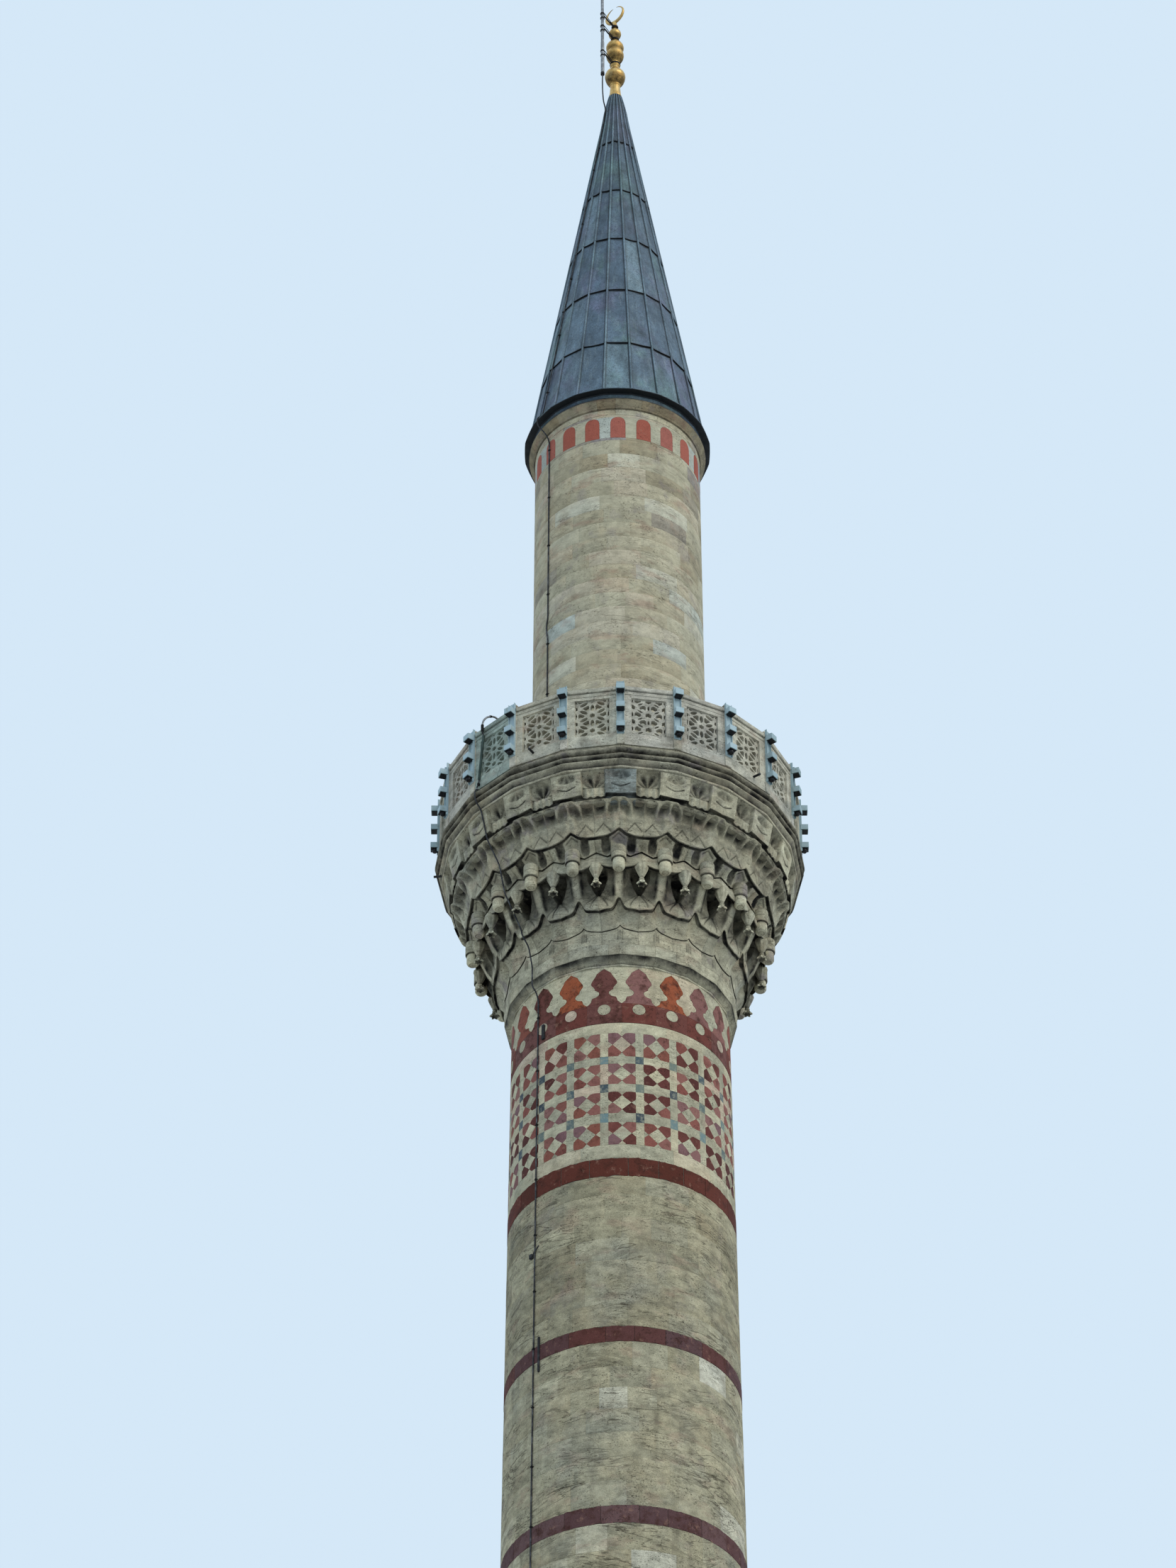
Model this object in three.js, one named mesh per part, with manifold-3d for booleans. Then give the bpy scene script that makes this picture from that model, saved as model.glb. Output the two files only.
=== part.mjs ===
// A classical stone minaret at half of its real size, in millimetres, Z up.
// The origin is the centre of the plinth's underside, and azimuth 0 looks towards -Y, the front.

import * as THREE from 'three';
import { mergeVertices } from 'three/addons/utils/BufferGeometryUtils.js';
import Module from 'manifold-3d';

const wasm = await Module();
wasm.setup();

// Driving dimensions
const BAYS = 20; // sides of the balcony, the corbels, the eave and the spire
const ROUND = 40; // sides that stand for a round wall
const GAP = 0.3; // clearance where one cut piece meets the next

const PLINTH = { half: 1500, step: 110, rise: 200, top: 400 };
const BASE = { half: 1300, wall: 450, top: 4200, corniceTop: 4420, proud: 60 };
const DOOR = { width: 450, head: 1400 };
const TRANSITION_TOP = 6500;
const SHAFT = { foot: 6817, footRadius: 890, top: 24119, topRadius: 742, wall: 262 };
const RED_BANDS = { third: [20167, 20297], second: [21536, 21656], first: [22850, 22994] };
const PALMETTES = { bottom: 24119, top: 24600 };
const CORE = 470; // radius of the stair well through the corbels
const FLOOR = { bottom: 26093, top: 26130, radius: 1262 };
const UPPER = { radius: 615, eaveRadius: 607, wall: 150, doorTop: 27060, archBottom: 29640, top: 29895 };
const BALCONY_DOOR = { width: 380, head: 27030 };
const PARAPET = { radius: 1251, thick: 70, top: 26650, copingDepth: 40 };
const FIELD = { width: 240, bottom: 26230, top: 26555, recess: 15 };
const CHANNEL = { width: 44, bottom: 26215, top: 26690, back: 1254, front: 1280 };
const LAMP = { width: 58, height: 46, front: 1316, heights: [26267, 26435, 26604] };
const EAVE = { bottom: 30033, top: 30105, radius: 690 };
const SPIRE = { radius: 665, top: 33985, tipRadius: 50, skin: 60 };
const MAST = { azimuth: -39, distance: 158, radius: 14, bottom: 34120, top: 35050, tip: 35300 };

const BAY = 360 / BAYS;
const HALF_BAY = BAY / 2;

// Materials, with the colours of the weathered stone, lead and gilding
function paint(color, roughness, metalness = 0) {
  return new THREE.MeshStandardMaterial({ color, roughness, metalness });
}
const ashlar = paint(0xa9a48f, 0.9);
const carvedStone = paint(0x8f8b7b, 0.9);
const redStone = paint(0x6b4444, 0.85);
const inlaidStone = paint(0xb0856f, 0.85);
const lead = paint(0x4d5a66, 0.5, 0.6);
const gilding = paint(0xc89b3c, 0.35, 1);
const darkSteel = paint(0x3a3d40, 0.6, 0.5);

const minaret = new THREE.Group();
minaret.name = 'minaret';

function add(name, geometry, material, turn = 0) {
  const mesh = new THREE.Mesh(geometry, material);
  mesh.name = name;
  mesh.rotation.z = THREE.MathUtils.degToRad(turn);
  minaret.add(mesh);
}

// Geometry helpers
function welded(geometry) {
  const bare = geometry.index ? geometry.toNonIndexed() : geometry.clone();
  bare.deleteAttribute('normal');
  bare.deleteAttribute('uv');
  return mergeVertices(bare, 0.01);
}

function signedVolume(geometry) {
  const p = geometry.attributes.position;
  const index = geometry.index.array;
  const [a, b, c] = [new THREE.Vector3(), new THREE.Vector3(), new THREE.Vector3()];
  let sum = 0;
  for (let i = 0; i < index.length; i += 3) {
    a.fromBufferAttribute(p, index[i]);
    b.fromBufferAttribute(p, index[i + 1]);
    c.fromBufferAttribute(p, index[i + 2]);
    sum += a.dot(b.cross(c));
  }
  return sum;
}

function facingOut(geometry) {
  const g = welded(geometry);
  const kept = [];
  const index = g.index.array;
  const flip = signedVolume(g) < 0;
  for (let i = 0; i < index.length; i += 3) {
    const [a, b, c] = [index[i], index[i + 1], index[i + 2]];
    if (a === b || b === c || c === a) continue;
    kept.push(...(flip ? [a, c, b] : [a, b, c]));
  }
  g.setIndex(kept);
  return g;
}

// Turned body: the profile is a list of [radius, height]; azimuth 0 is -Y and 90 is +X
function turned(profile, sides = ROUND, firstCorner = 0) {
  const closes = profile[0][0] > 0;
  const points = profile.map(([r, z]) => new THREE.Vector2(r, z));
  if (closes) points.push(points[0].clone());
  const lathe = new THREE.LatheGeometry(points, sides, THREE.MathUtils.degToRad(firstCorner));
  return facingOut(lathe.rotateX(Math.PI / 2));
}

function ring(outline, innerRadius, sides = ROUND, firstCorner = 0) {
  const low = outline[0][1];
  const high = outline[outline.length - 1][1];
  return turned([...outline, [innerRadius, high], [innerRadius, low]], sides, firstCorner);
}

function block([x0, x1], [y0, y1], [z0, z1]) {
  const box = new THREE.BoxGeometry(x1 - x0, y1 - y0, z1 - z0);
  return facingOut(box.translate((x0 + x1) / 2, (y0 + y1) / 2, (z0 + z1) / 2));
}

// Upright prism on a plan outline of [x, y] points
function prism(plan, z0, z1) {
  const shape = new THREE.Shape(plan.map(([x, y]) => new THREE.Vector2(x, y)));
  const body = new THREE.ExtrudeGeometry(shape, { depth: z1 - z0, bevelEnabled: false });
  return facingOut(body.translate(0, 0, z0));
}

function atAzimuth(geometry, degrees, distance) {
  const turn = THREE.MathUtils.degToRad(degrees);
  return geometry.clone().translate(0, -distance, 0).rotateZ(turn);
}

function polar(azimuth, radius, z) {
  const a = THREE.MathUtils.degToRad(azimuth);
  return new THREE.Vector3(radius * Math.sin(a), -radius * Math.cos(a), z);
}

function solid(geometry) {
  const vertProperties = new Float32Array(geometry.attributes.position.array);
  const triVerts = new Uint32Array(geometry.index.array);
  return new wasm.Manifold(new wasm.Mesh({ numProp: 3, vertProperties, triVerts }));
}

function surface(body) {
  const mesh = body.getMesh();
  const geometry = new THREE.BufferGeometry();
  geometry.setAttribute('position', new THREE.BufferAttribute(mesh.vertProperties, 3));
  geometry.setIndex([...mesh.triVerts]);
  return geometry;
}

function joined(first, ...others) {
  return others.reduce((body, other) => body.add(solid(other)), solid(first));
}

function carved(body, cutters) {
  return cutters.reduce((rest, cutter) => rest.subtract(solid(cutter)), body);
}

// One copy of a shape in the middle of every bay, or at every corner
function around(geometry, distance, firstAzimuth) {
  const copies = [];
  for (let i = 0; i < BAYS; i += 1) copies.push(atAzimuth(geometry, firstAzimuth + i * BAY, distance));
  return copies;
}

// Foot: a stepped plinth that carries a square hollow base with a doorway at the front
const diagonal = Math.SQRT2;
add('base_plinth', turned([
  [0, 0],
  [PLINTH.half * diagonal, 0],
  [PLINTH.half * diagonal, PLINTH.rise],
  [(PLINTH.half - PLINTH.step) * diagonal, PLINTH.rise],
  [(PLINTH.half - PLINTH.step) * diagonal, PLINTH.top],
  [0, PLINTH.top],
], 4, 45), ashlar);

const outer = BASE.half;
const inner = BASE.half - BASE.wall;
const jamb = DOOR.width / 2;
const storey = [PLINTH.top, BASE.top];
add('base_wall_back', block([-outer, outer], [inner, outer], storey), ashlar);
add('base_wall_left', block([-outer, -inner], [-inner, inner], storey), ashlar);
add('base_wall_right', block([inner, outer], [-inner, inner], storey), ashlar);
add('base_jamb_left', block([-outer, -jamb], [-outer, -inner], [PLINTH.top, DOOR.head]), ashlar);
add('base_jamb_right', block([jamb, outer], [-outer, -inner], [PLINTH.top, DOOR.head]), ashlar);
add('base_wall_over_door', block([-outer, outer], [-outer, -inner], [DOOR.head, BASE.top]), ashlar);

// The square base turns into the round shaft where a tall cone cuts the corners of a square block
function transition() {
  const cornice = ring([
    [outer * diagonal, BASE.top],
    [(outer + BASE.proud) * diagonal, BASE.top + 80],
    [(outer + BASE.proud) * diagonal, BASE.corniceTop - 40],
    [outer * diagonal, BASE.corniceTop],
  ], inner * diagonal, 4, 45);
  const squareBlock = block([-outer, outer], [-outer, outer], [BASE.corniceTop, TRANSITION_TOP]);
  const cone = turned([
    [0, BASE.corniceTop],
    [outer * diagonal, BASE.corniceTop],
    [SHAFT.footRadius + 30, TRANSITION_TOP],
    [0, TRANSITION_TOP],
  ]);
  const well = turned([
    [0, BASE.corniceTop - 1],
    [SHAFT.footRadius - SHAFT.wall, BASE.corniceTop - 1],
    [SHAFT.footRadius - SHAFT.wall, TRANSITION_TOP + 1],
    [0, TRANSITION_TOP + 1],
  ]);
  const mass = solid(squareBlock).intersect(solid(cone)).subtract(solid(well));
  return surface(mass.add(solid(cornice)));
}
add('base_transition', transition(), ashlar);

add('shaft_foot_ring', ring([
  [SHAFT.footRadius + 30, TRANSITION_TOP],
  [SHAFT.footRadius + 70, TRANSITION_TOP + 90],
  [SHAFT.footRadius + 70, TRANSITION_TOP + 180],
  [SHAFT.footRadius + 25, TRANSITION_TOP + 260],
  [SHAFT.footRadius, SHAFT.foot],
], SHAFT.footRadius - SHAFT.wall), ashlar);

// Round lower shaft: tapering drums of ashlar with thin courses of dark red stone between them
function shaftRadius(z) {
  const t = (z - SHAFT.foot) / (SHAFT.top - SHAFT.foot);
  return SHAFT.footRadius + t * (SHAFT.topRadius - SHAFT.footRadius);
}

function drum(bottom, top) {
  const [low, high] = [shaftRadius(bottom), shaftRadius(top)];
  return turned([[low, bottom], [high, top], [high - SHAFT.wall, top], [low - SHAFT.wall, bottom]]);
}
const { third, second, first } = RED_BANDS;
add('shaft_lower', drum(SHAFT.foot, third[0]), ashlar);
add('red_band_third', drum(...third), redStone);
add('shaft_stage_second', drum(third[1], second[0]), ashlar);
add('red_band_second', drum(...second), redStone);
add('shaft_stage_first', drum(second[1], first[0]), ashlar);
add('red_band_first', drum(...first), redStone);
add('checker_band', drum(first[1], SHAFT.top), inlaidStone);
add('palmette_band', ring([
  [SHAFT.topRadius, PALMETTES.bottom],
  [SHAFT.topRadius - 4, PALMETTES.top],
], CORE), inlaidStone);

// Twenty-sided neck: a bead, a flat cavetto and a plain fascia
add('neck_moulding', ring([
  [751, PALMETTES.top],
  [753, 24609],
  [786, 24622],
  [806, 24633],
  [820, 24645],
  [840, 24717],
  [839, 24721],
], CORE, BAYS), carvedStone);

// Corbel tiers, each stepping out over the one below, with the height where each of them starts
const TIERS = { pendants: 25290, shells: 25470, frieze: 25675, cornice: 25935 };
add('corbel_cove', ring([
  [836, 24721],
  [837, 24856],
  [846, 24864],
  [862, 24925],
  [890, 24972],
  [917, 25000],
], CORE, BAYS), carvedStone);

function cutterColumn(radius, bottom, top, sides = 6) {
  return turned([[0, bottom], [radius, bottom], [radius, top], [0, top]], sides);
}

const BOSS = { distance: 990, radius: 48, bottom: 25307, cupRadius: 36, cupBottom: 25214, tip: 25206 };
const DROP = { distance: 945, radius: 42, neck: 18, bottom: 25116 };

function nicheTier() {
  const mass = solid(ring([[918, 25000], [919, 25040], [948, 25180], [984, TIERS.pendants]], CORE, BAYS));
  const niche = cutterColumn(92, 25045, TIERS.pendants + 1);
  const bossRoom = cutterColumn(BOSS.cupRadius + 6, BOSS.tip - 6, TIERS.pendants + 1, 12);
  return surface(carved(mass, [...around(niche, 965, HALF_BAY), ...around(bossRoom, BOSS.distance, 0)]));
}
add('corbel_niches', nicheTier(), carvedStone);

function pendantTier() {
  const top = TIERS.pendants + 20;
  const profile = [[1006, TIERS.pendants], [1009, 25362], [1020, 25374], [1095, 25440], [1117, TIERS.shells]];
  const mass = ring(profile, CORE, BAYS);
  const boss = turned([
    [0, BOSS.tip],
    [20, BOSS.tip],
    [BOSS.cupRadius, BOSS.cupBottom + 8],
    [BOSS.cupRadius, BOSS.bottom],
    [BOSS.radius, BOSS.bottom],
    [BOSS.radius, 25400],
    [0, 25400],
  ], 12);
  const drop = turned([
    [0, DROP.bottom],
    [28, DROP.bottom + 14],
    [DROP.neck, 25165],
    [DROP.radius, 25275],
    [DROP.radius, top],
    [0, top],
  ], 8);
  const pendants = [...around(boss, BOSS.distance, 0), ...around(drop, DROP.distance, HALF_BAY)];
  return surface(joined(mass, ...pendants));
}
add('corbel_pendants', pendantTier(), carvedStone);

function shellTier() {
  const mass = solid(ring([
    [1117, TIERS.shells],
    [1126, 25540],
    [1160, 25620],
    [1204, TIERS.frieze],
  ], CORE, BAYS));
  const shell = turned([[0, 25500], [70, 25500], [105, 25600], [105, 25690], [0, 25690]], 6);
  return surface(carved(mass, around(shell, 1228, HALF_BAY)));
}
add('corbel_shells', shellTier(), carvedStone);
add('corbel_frieze', ring([[1216, TIERS.frieze], [1230, TIERS.cornice]], CORE, BAYS), carvedStone);

// Balcony: a moulded cornice, a stone floor and twenty pierced parapet slabs
add('balcony_cornice', ring([
  [1230, TIERS.cornice],
  [1236, 25944],
  [1231, 25956],
  [1256, 25992],
  [1276, 26018],
  [1262, 26042],
  [1278, 26052],
  [1284, 26068],
  [1278, 26084],
  [1268, FLOOR.bottom],
], CORE, BAYS), carvedStone);
add('balcony_floor', ring([
  [FLOOR.radius, FLOOR.bottom],
  [FLOOR.radius, FLOOR.top],
], CORE, BAYS), carvedStone);

const halfAngle = THREE.MathUtils.degToRad(HALF_BAY);
const apothem = PARAPET.radius * Math.cos(halfAngle);

// Plan of one bay between its two mitres, from the outer plane to the inner plane
function bayPlan(outerPlane, innerPlane, clearance = GAP / 2) {
  const slack = clearance / Math.cos(halfAngle);
  const reach = (plane) => plane * Math.tan(halfAngle) - slack;
  const [wide, narrow] = [reach(outerPlane), reach(innerPlane)];
  return [[-wide, -outerPlane], [wide, -outerPlane], [narrow, -innerPlane], [-narrow, -innerPlane]];
}

function latticeHoles() {
  const [columns, rows] = [3, 3];
  const [pitchX, pitchZ] = [FIELD.width / columns, (FIELD.top - FIELD.bottom) / rows];
  const holes = [];
  for (let i = 0; i < columns; i += 1) {
    for (let j = 0; j < rows; j += 1) {
      const bar = new THREE.CylinderGeometry(0.44 * pitchZ, 0.44 * pitchZ, 200, 4);
      bar.scale(pitchX / pitchZ, 1, 1);
      const x = (i - (columns - 1) / 2) * pitchX;
      const z = FIELD.bottom + (j + 0.5) * pitchZ;
      holes.push(facingOut(bar.translate(x, -apothem, z)));
    }
  }
  return holes;
}

function parapetBay() {
  const back = apothem - PARAPET.thick;
  const copingBottom = PARAPET.top - PARAPET.copingDepth;
  const slab = prism(bayPlan(apothem, back), FLOOR.top, PARAPET.top);
  const coping = prism(bayPlan(apothem + 12, back), copingBottom, PARAPET.top);
  const strips = [-1, 1].map((side) => {
    const end = (apothem + 8) * Math.tan(halfAngle) - GAP / 2 / Math.cos(halfAngle);
    const foot = apothem * Math.tan(halfAngle) - GAP / 2 / Math.cos(halfAngle);
    const plan = [[165, -apothem + 5], [165, -apothem - 8], [end, -apothem - 8], [foot - 1, -apothem + 5]];
    return prism(plan.map(([x, y]) => [side * x, y]), FLOOR.top, copingBottom + 1);
  });
  const frame = block(
    [-FIELD.width / 2, FIELD.width / 2],
    [-apothem - 20, -apothem + FIELD.recess],
    [FIELD.bottom, FIELD.top],
  );
  const panel = carved(joined(slab, coping, ...strips), [frame, ...latticeHoles()]);
  const half = CHANNEL.width / 2;
  const channel = block([-half, half], [-CHANNEL.front, -CHANNEL.back], [CHANNEL.bottom, CHANNEL.top]);
  const lamps = LAMP.heights.map((z) => block(
    [-LAMP.width / 2, LAMP.width / 2],
    [-LAMP.front, -CHANNEL.front + 6],
    [z - LAMP.height / 2, z + LAMP.height / 2],
  ));
  const fitting = [channel, ...lamps].map((g) => atAzimuth(g, -HALF_BAY, 0));
  const neighbour = atAzimuth(
    prism(bayPlan(apothem + 12 + GAP, back - 20, -GAP / 2), FLOOR.top - 1, PARAPET.top + GAP),
    -BAY,
    0,
  );
  const lit = fitting.reduce((body, g) => body.add(solid(g).subtract(solid(neighbour))), panel);
  return surface(lit);
}
const bay = parapetBay();
for (let i = 0; i < BAYS; i += 1) {
  const number = String(i + 1).padStart(2, '0');
  add(`parapet_bay_${number}`, bay.clone(), carvedStone, HALF_BAY + i * BAY);
}

// Upper shaft: the wall beside the balcony doorway is in three pieces, with the round body above
function doorZone() {
  const wall = solid(ring([
    [UPPER.radius, FLOOR.top],
    [UPPER.radius, UPPER.doorTop],
  ], UPPER.radius - UPPER.wall));
  const half = BALCONY_DOOR.width / 2;
  const height = [FLOOR.top - 10, UPPER.doorTop + 10];
  const cut = (xs, ys) => surface(wall.intersect(solid(block(xs, ys, height))));
  return {
    front: cut([-700, 700], [-700, 100]),
    left: cut([-700, -half], [100 + GAP, 700]),
    right: cut([half, 700], [100 + GAP, 700]),
  };
}
const doorWalls = doorZone();
add('upper_shaft_front', doorWalls.front, ashlar);
add('upper_shaft_jamb_left', doorWalls.left, ashlar);
add('upper_shaft_jamb_right', doorWalls.right, ashlar);
add('upper_shaft_body', ring([
  [UPPER.radius, UPPER.doorTop],
  [UPPER.eaveRadius, UPPER.archBottom],
], UPPER.radius - UPPER.wall), ashlar);
add('arch_ring', ring([
  [UPPER.eaveRadius, UPPER.archBottom],
  [UPPER.eaveRadius, UPPER.top],
], UPPER.radius - UPPER.wall), ashlar);

// Stone cornice under the eave, then the lead eave and the hollow lead spire
add('eave_cornice', ring([
  [612, UPPER.top],
  [628, 29925],
  [632, 29960],
  [652, 29985],
  [668, EAVE.bottom],
], UPPER.radius - UPPER.wall, BAYS, HALF_BAY), ashlar);
add('spire_eave', ring([
  [672, EAVE.bottom],
  [EAVE.radius, EAVE.bottom + 12],
  [EAVE.radius, EAVE.top - 14],
  [SPIRE.radius + 6, EAVE.top],
], SPIRE.radius - SPIRE.skin, BAYS, HALF_BAY), lead);
add('spire', turned([
  [0, SPIRE.top - 560],
  [SPIRE.radius - SPIRE.skin, EAVE.top],
  [SPIRE.radius, EAVE.top],
  [SPIRE.tipRadius, SPIRE.top],
  [0, SPIRE.top],
], BAYS, HALF_BAY), lead);

// Gilt finial: a flared neck, a ball, two stacked bulbs, a small ball and an open crescent
function finial() {
  const stack = turned([
    [0, SPIRE.top],
    [48, SPIRE.top],
    [40, 34095],
    [62, 34125],
    [81, 34184],
    [62, 34250],
    [35, 34300],
    [34, 34368],
    [62, 34408],
    [70, 34455],
    [58, 34498],
    [70, 34545],
    [48, 34598],
    [26, 34625],
    [26, 34660],
    [50, 34712],
    [28, 34760],
    [16, 34776],
    [20, 34856],
    [0, 34880],
  ], 16);
  const crescentRadius = 94;
  const centre = 34935;
  const shape = new THREE.Shape();
  const radians = THREE.MathUtils.degToRad;
  shape.absarc(0, 0, crescentRadius, radians(102), radians(438), false);
  shape.absarc(0, 14, crescentRadius - 18, radians(436), radians(104), true);
  const flat = new THREE.ExtrudeGeometry(shape, { depth: 22, bevelEnabled: false, curveSegments: 20 });
  flat.translate(0, 0, -11).rotateX(Math.PI / 2);
  const crescent = facingOut(flat.rotateZ(radians(-39)).translate(0, 0, centre));
  return surface(joined(stack, crescent));
}
add('finial', finial(), gilding);

// Lightning rod: a mast beside the finial on three arms that clasp its necks
function lightningRod() {
  const mast = atAzimuth(turned([
    [0, MAST.bottom],
    [MAST.radius, MAST.bottom],
    [MAST.radius, MAST.top - 40],
    [23, MAST.top - 10],
    [23, MAST.top + 16],
    [7, MAST.top + 40],
    [4, MAST.tip - 30],
    [0, MAST.tip],
  ], 8), MAST.azimuth, MAST.distance);
  const arms = [[34334, 35.2], [34642, 26.6], [34790, 17.6]].map(([z, neck]) => {
    const clasp = turned([[neck, z - 8], [neck + 7, z - 8], [neck + 7, z + 8], [neck, z + 8]], 16);
    const bar = block([-4, 4], [-MAST.distance, -neck - 3], [z - 5, z + 5]);
    return joined(clasp, atAzimuth(bar, MAST.azimuth, 0));
  });
  return surface(arms.reduce((body, arm) => body.add(arm), solid(mast)));
}
add('lightning_rod', lightningRod(), darkSteel);

// Down conductor: a cable from the mast to the plinth in two lengths, which meet under the parapet.
// It is clipped along the spire and the stone, and a station stands wherever its route bends.
class Route extends THREE.Curve {
  constructor(stations) {
    super();
    this.stations = stations;
    this.last = stations.length - 1;
  }

  getPointAt(u) {
    const place = THREE.MathUtils.clamp(u, 0, 1) * this.last;
    const first = Math.min(Math.floor(place), this.last - 1);
    return this.stations[first].clone().lerp(this.stations[first + 1], place - first);
  }

  getTangentAt(u) {
    const here = Math.round(u * this.last);
    const leg = (k) => this.stations[k + 1].clone().sub(this.stations[k]).normalize();
    return leg(Math.max(here - 1, 0)).add(leg(Math.min(here, this.last - 1))).normalize();
  }
}

// The azimuths at which it runs down each part; the hook takes it over the coping.
const CABLE = { radius: 7, spire: -58, turret: -55, hook: -48.6, parapet: -50.8, shaft: -48 };

function cable(stations) {
  const section = new THREE.Shape();
  section.absellipse(0, 0, CABLE.radius, CABLE.radius, 0, 2 * Math.PI);
  const extrudePath = new Route(stations);
  const steps = stations.length - 1;
  const settings = { steps, bevelEnabled: false, extrudePath, curveSegments: 4 };
  return facingOut(new THREE.ExtrudeGeometry(section, settings));
}

// Where a cable's centre lies when it touches a faceted wall of the given radius
function clippedAt(azimuth, wallRadius, z, sides = ROUND, firstCorner = 0) {
  const halfFacet = 180 / sides;
  const turn = azimuth - firstCorner;
  const offset = (((turn % (2 * halfFacet)) + 2 * halfFacet) % (2 * halfFacet)) - halfFacet;
  const cos = (degrees) => Math.cos(THREE.MathUtils.degToRad(degrees));
  const face = wallRadius * cos(halfFacet) / cos(offset);
  return polar(azimuth, face + CABLE.radius + GAP, z);
}
function between(z, [z0, r0], [z1, r1]) {
  return r0 + (r1 - r0) * (z - z0) / (z1 - z0);
}
function onSpire(z) {
  const slopeClearance = 0.2;
  const wall = between(z, [EAVE.top, SPIRE.radius], [SPIRE.top, SPIRE.tipRadius]);
  return clippedAt(CABLE.spire, wall + slopeClearance, z, BAYS, HALF_BAY);
}
function onTurret(z) {
  const wall = between(z, [UPPER.doorTop, UPPER.radius], [UPPER.archBottom, UPPER.eaveRadius]);
  return clippedAt(CABLE.turret, THREE.MathUtils.clamp(wall, UPPER.eaveRadius, UPPER.radius), z);
}
function onSlope(z) {
  const slopeClearance = 1.2;
  const wall = between(z, [BASE.corniceTop, outer * diagonal], [TRANSITION_TOP, SHAFT.footRadius + 30]);
  return clippedAt(CABLE.shaft, wall + slopeClearance, z);
}

const hookRoute = (radius, z) => polar(CABLE.hook, radius, z);
const parapetRoute = (radius, z) => polar(CABLE.parapet, radius, z);
const joint = { radius: 1264, z: 26112 };
add('upper_conductor', cable([
  polar(MAST.azimuth, MAST.distance, MAST.bottom - GAP),
  polar(-40, 157, 34050),
  polar(-43, 147, 33960),
  polar(-49, 124, 33860),
  polar(-55, 103, 33800),
  ...[33740, 33319, 32661, 32022, 31356, 30689, 30160].map(onSpire),
  polar(CABLE.spire, 677, 30114),
  polar(CABLE.spire, 693, 30094),
  polar(CABLE.spire, 692, 30040),
  polar(CABLE.spire, 684, 30016),
  polar(-57, 664, 29985),
  polar(-56, 638, 29945),
  polar(-55.3, 620, 29905),
  ...[29860, UPPER.archBottom, 28400, UPPER.doorTop, 26185].map(onTurret),
  polar(CABLE.turret, 628, 26158),
  polar(CABLE.turret, 648, 26140),
  polar(-53, 900, 26139),
  polar(-49, 1138, 26139),
  hookRoute(1154, 26152),
  hookRoute(1159, 26180),
  hookRoute(1159, 26480),
  hookRoute(1104, 26590),
  hookRoute(1082, 26680),
  hookRoute(1082, 26742),
  hookRoute(1102, 26784),
  hookRoute(1130, 26802),
  hookRoute(1160, 26802),
  hookRoute(1192, 26786),
  hookRoute(1228, 26756),
  hookRoute(1254, 26714),
  hookRoute(1265, 26670),
  hookRoute(1264, 26606),
  polar(-48.8, 1248, 26580),
  parapetRoute(1251.5, 26160),
  parapetRoute(1264, 26134),
  parapetRoute(joint.radius, joint.z),
]), darkSteel);
add('lower_conductor', cable([
  parapetRoute(joint.radius, joint.z - GAP),
  parapetRoute(joint.radius, joint.z - 6),
  parapetRoute(1275, 26096),
  parapetRoute(1285, 26068),
  parapetRoute(1278, 26018),
  parapetRoute(1262, 25984),
  polar(-50.7, 1240, 25938),
  polar(-50.6, 1229, 25860),
  polar(-50.4, 1218, 25664),
  polar(-50, 1122, 25478),
  polar(-49.6, 1036, 25290),
  polar(-49.2, 928, 25006),
  polar(-48.8, 880, 24935),
  polar(-48.5, 850, 24865),
  polar(-48.3, 841, 24722),
  polar(-48.2, 834, 24652),
  polar(-48.1, 798, 24594),
  polar(CABLE.shaft, 764, 24562),
  ...[24500, SHAFT.top, third[1], SHAFT.foot + 30].map((z) => clippedAt(CABLE.shaft, shaftRadius(z), z)),
  polar(CABLE.shaft, 924, 6765),
  polar(CABLE.shaft, 970, 6692),
  polar(CABLE.shaft, 970, 6588),
  polar(CABLE.shaft, 934, 6502),
  ...[6440, 4680].map(onSlope),
  polar(CABLE.shaft, 1762, 4600),
  polar(CABLE.shaft, 1762, 4438),
  polar(CABLE.shaft, 1843, 4388),
  polar(CABLE.shaft, 1843, 4275),
  polar(CABLE.shaft, 1762, 4194),
  polar(CABLE.shaft, 1762, PLINTH.top + GAP),
]), darkSteel);

export default minaret;
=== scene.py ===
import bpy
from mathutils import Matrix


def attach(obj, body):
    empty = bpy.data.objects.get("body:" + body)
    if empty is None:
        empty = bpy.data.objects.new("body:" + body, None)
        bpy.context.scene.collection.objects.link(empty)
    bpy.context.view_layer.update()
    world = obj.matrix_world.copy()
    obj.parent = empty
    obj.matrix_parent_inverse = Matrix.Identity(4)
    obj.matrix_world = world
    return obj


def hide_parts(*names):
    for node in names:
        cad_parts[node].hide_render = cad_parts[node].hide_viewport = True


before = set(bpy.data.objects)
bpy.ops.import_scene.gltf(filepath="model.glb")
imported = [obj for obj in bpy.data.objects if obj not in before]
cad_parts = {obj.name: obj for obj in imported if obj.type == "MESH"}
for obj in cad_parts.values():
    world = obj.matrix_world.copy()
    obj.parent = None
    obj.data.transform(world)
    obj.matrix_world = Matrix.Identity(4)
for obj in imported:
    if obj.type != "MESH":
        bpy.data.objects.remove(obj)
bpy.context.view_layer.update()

import math
import random

import bmesh
import bpy
import numpy as np
from mathutils import Matrix, Vector

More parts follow.
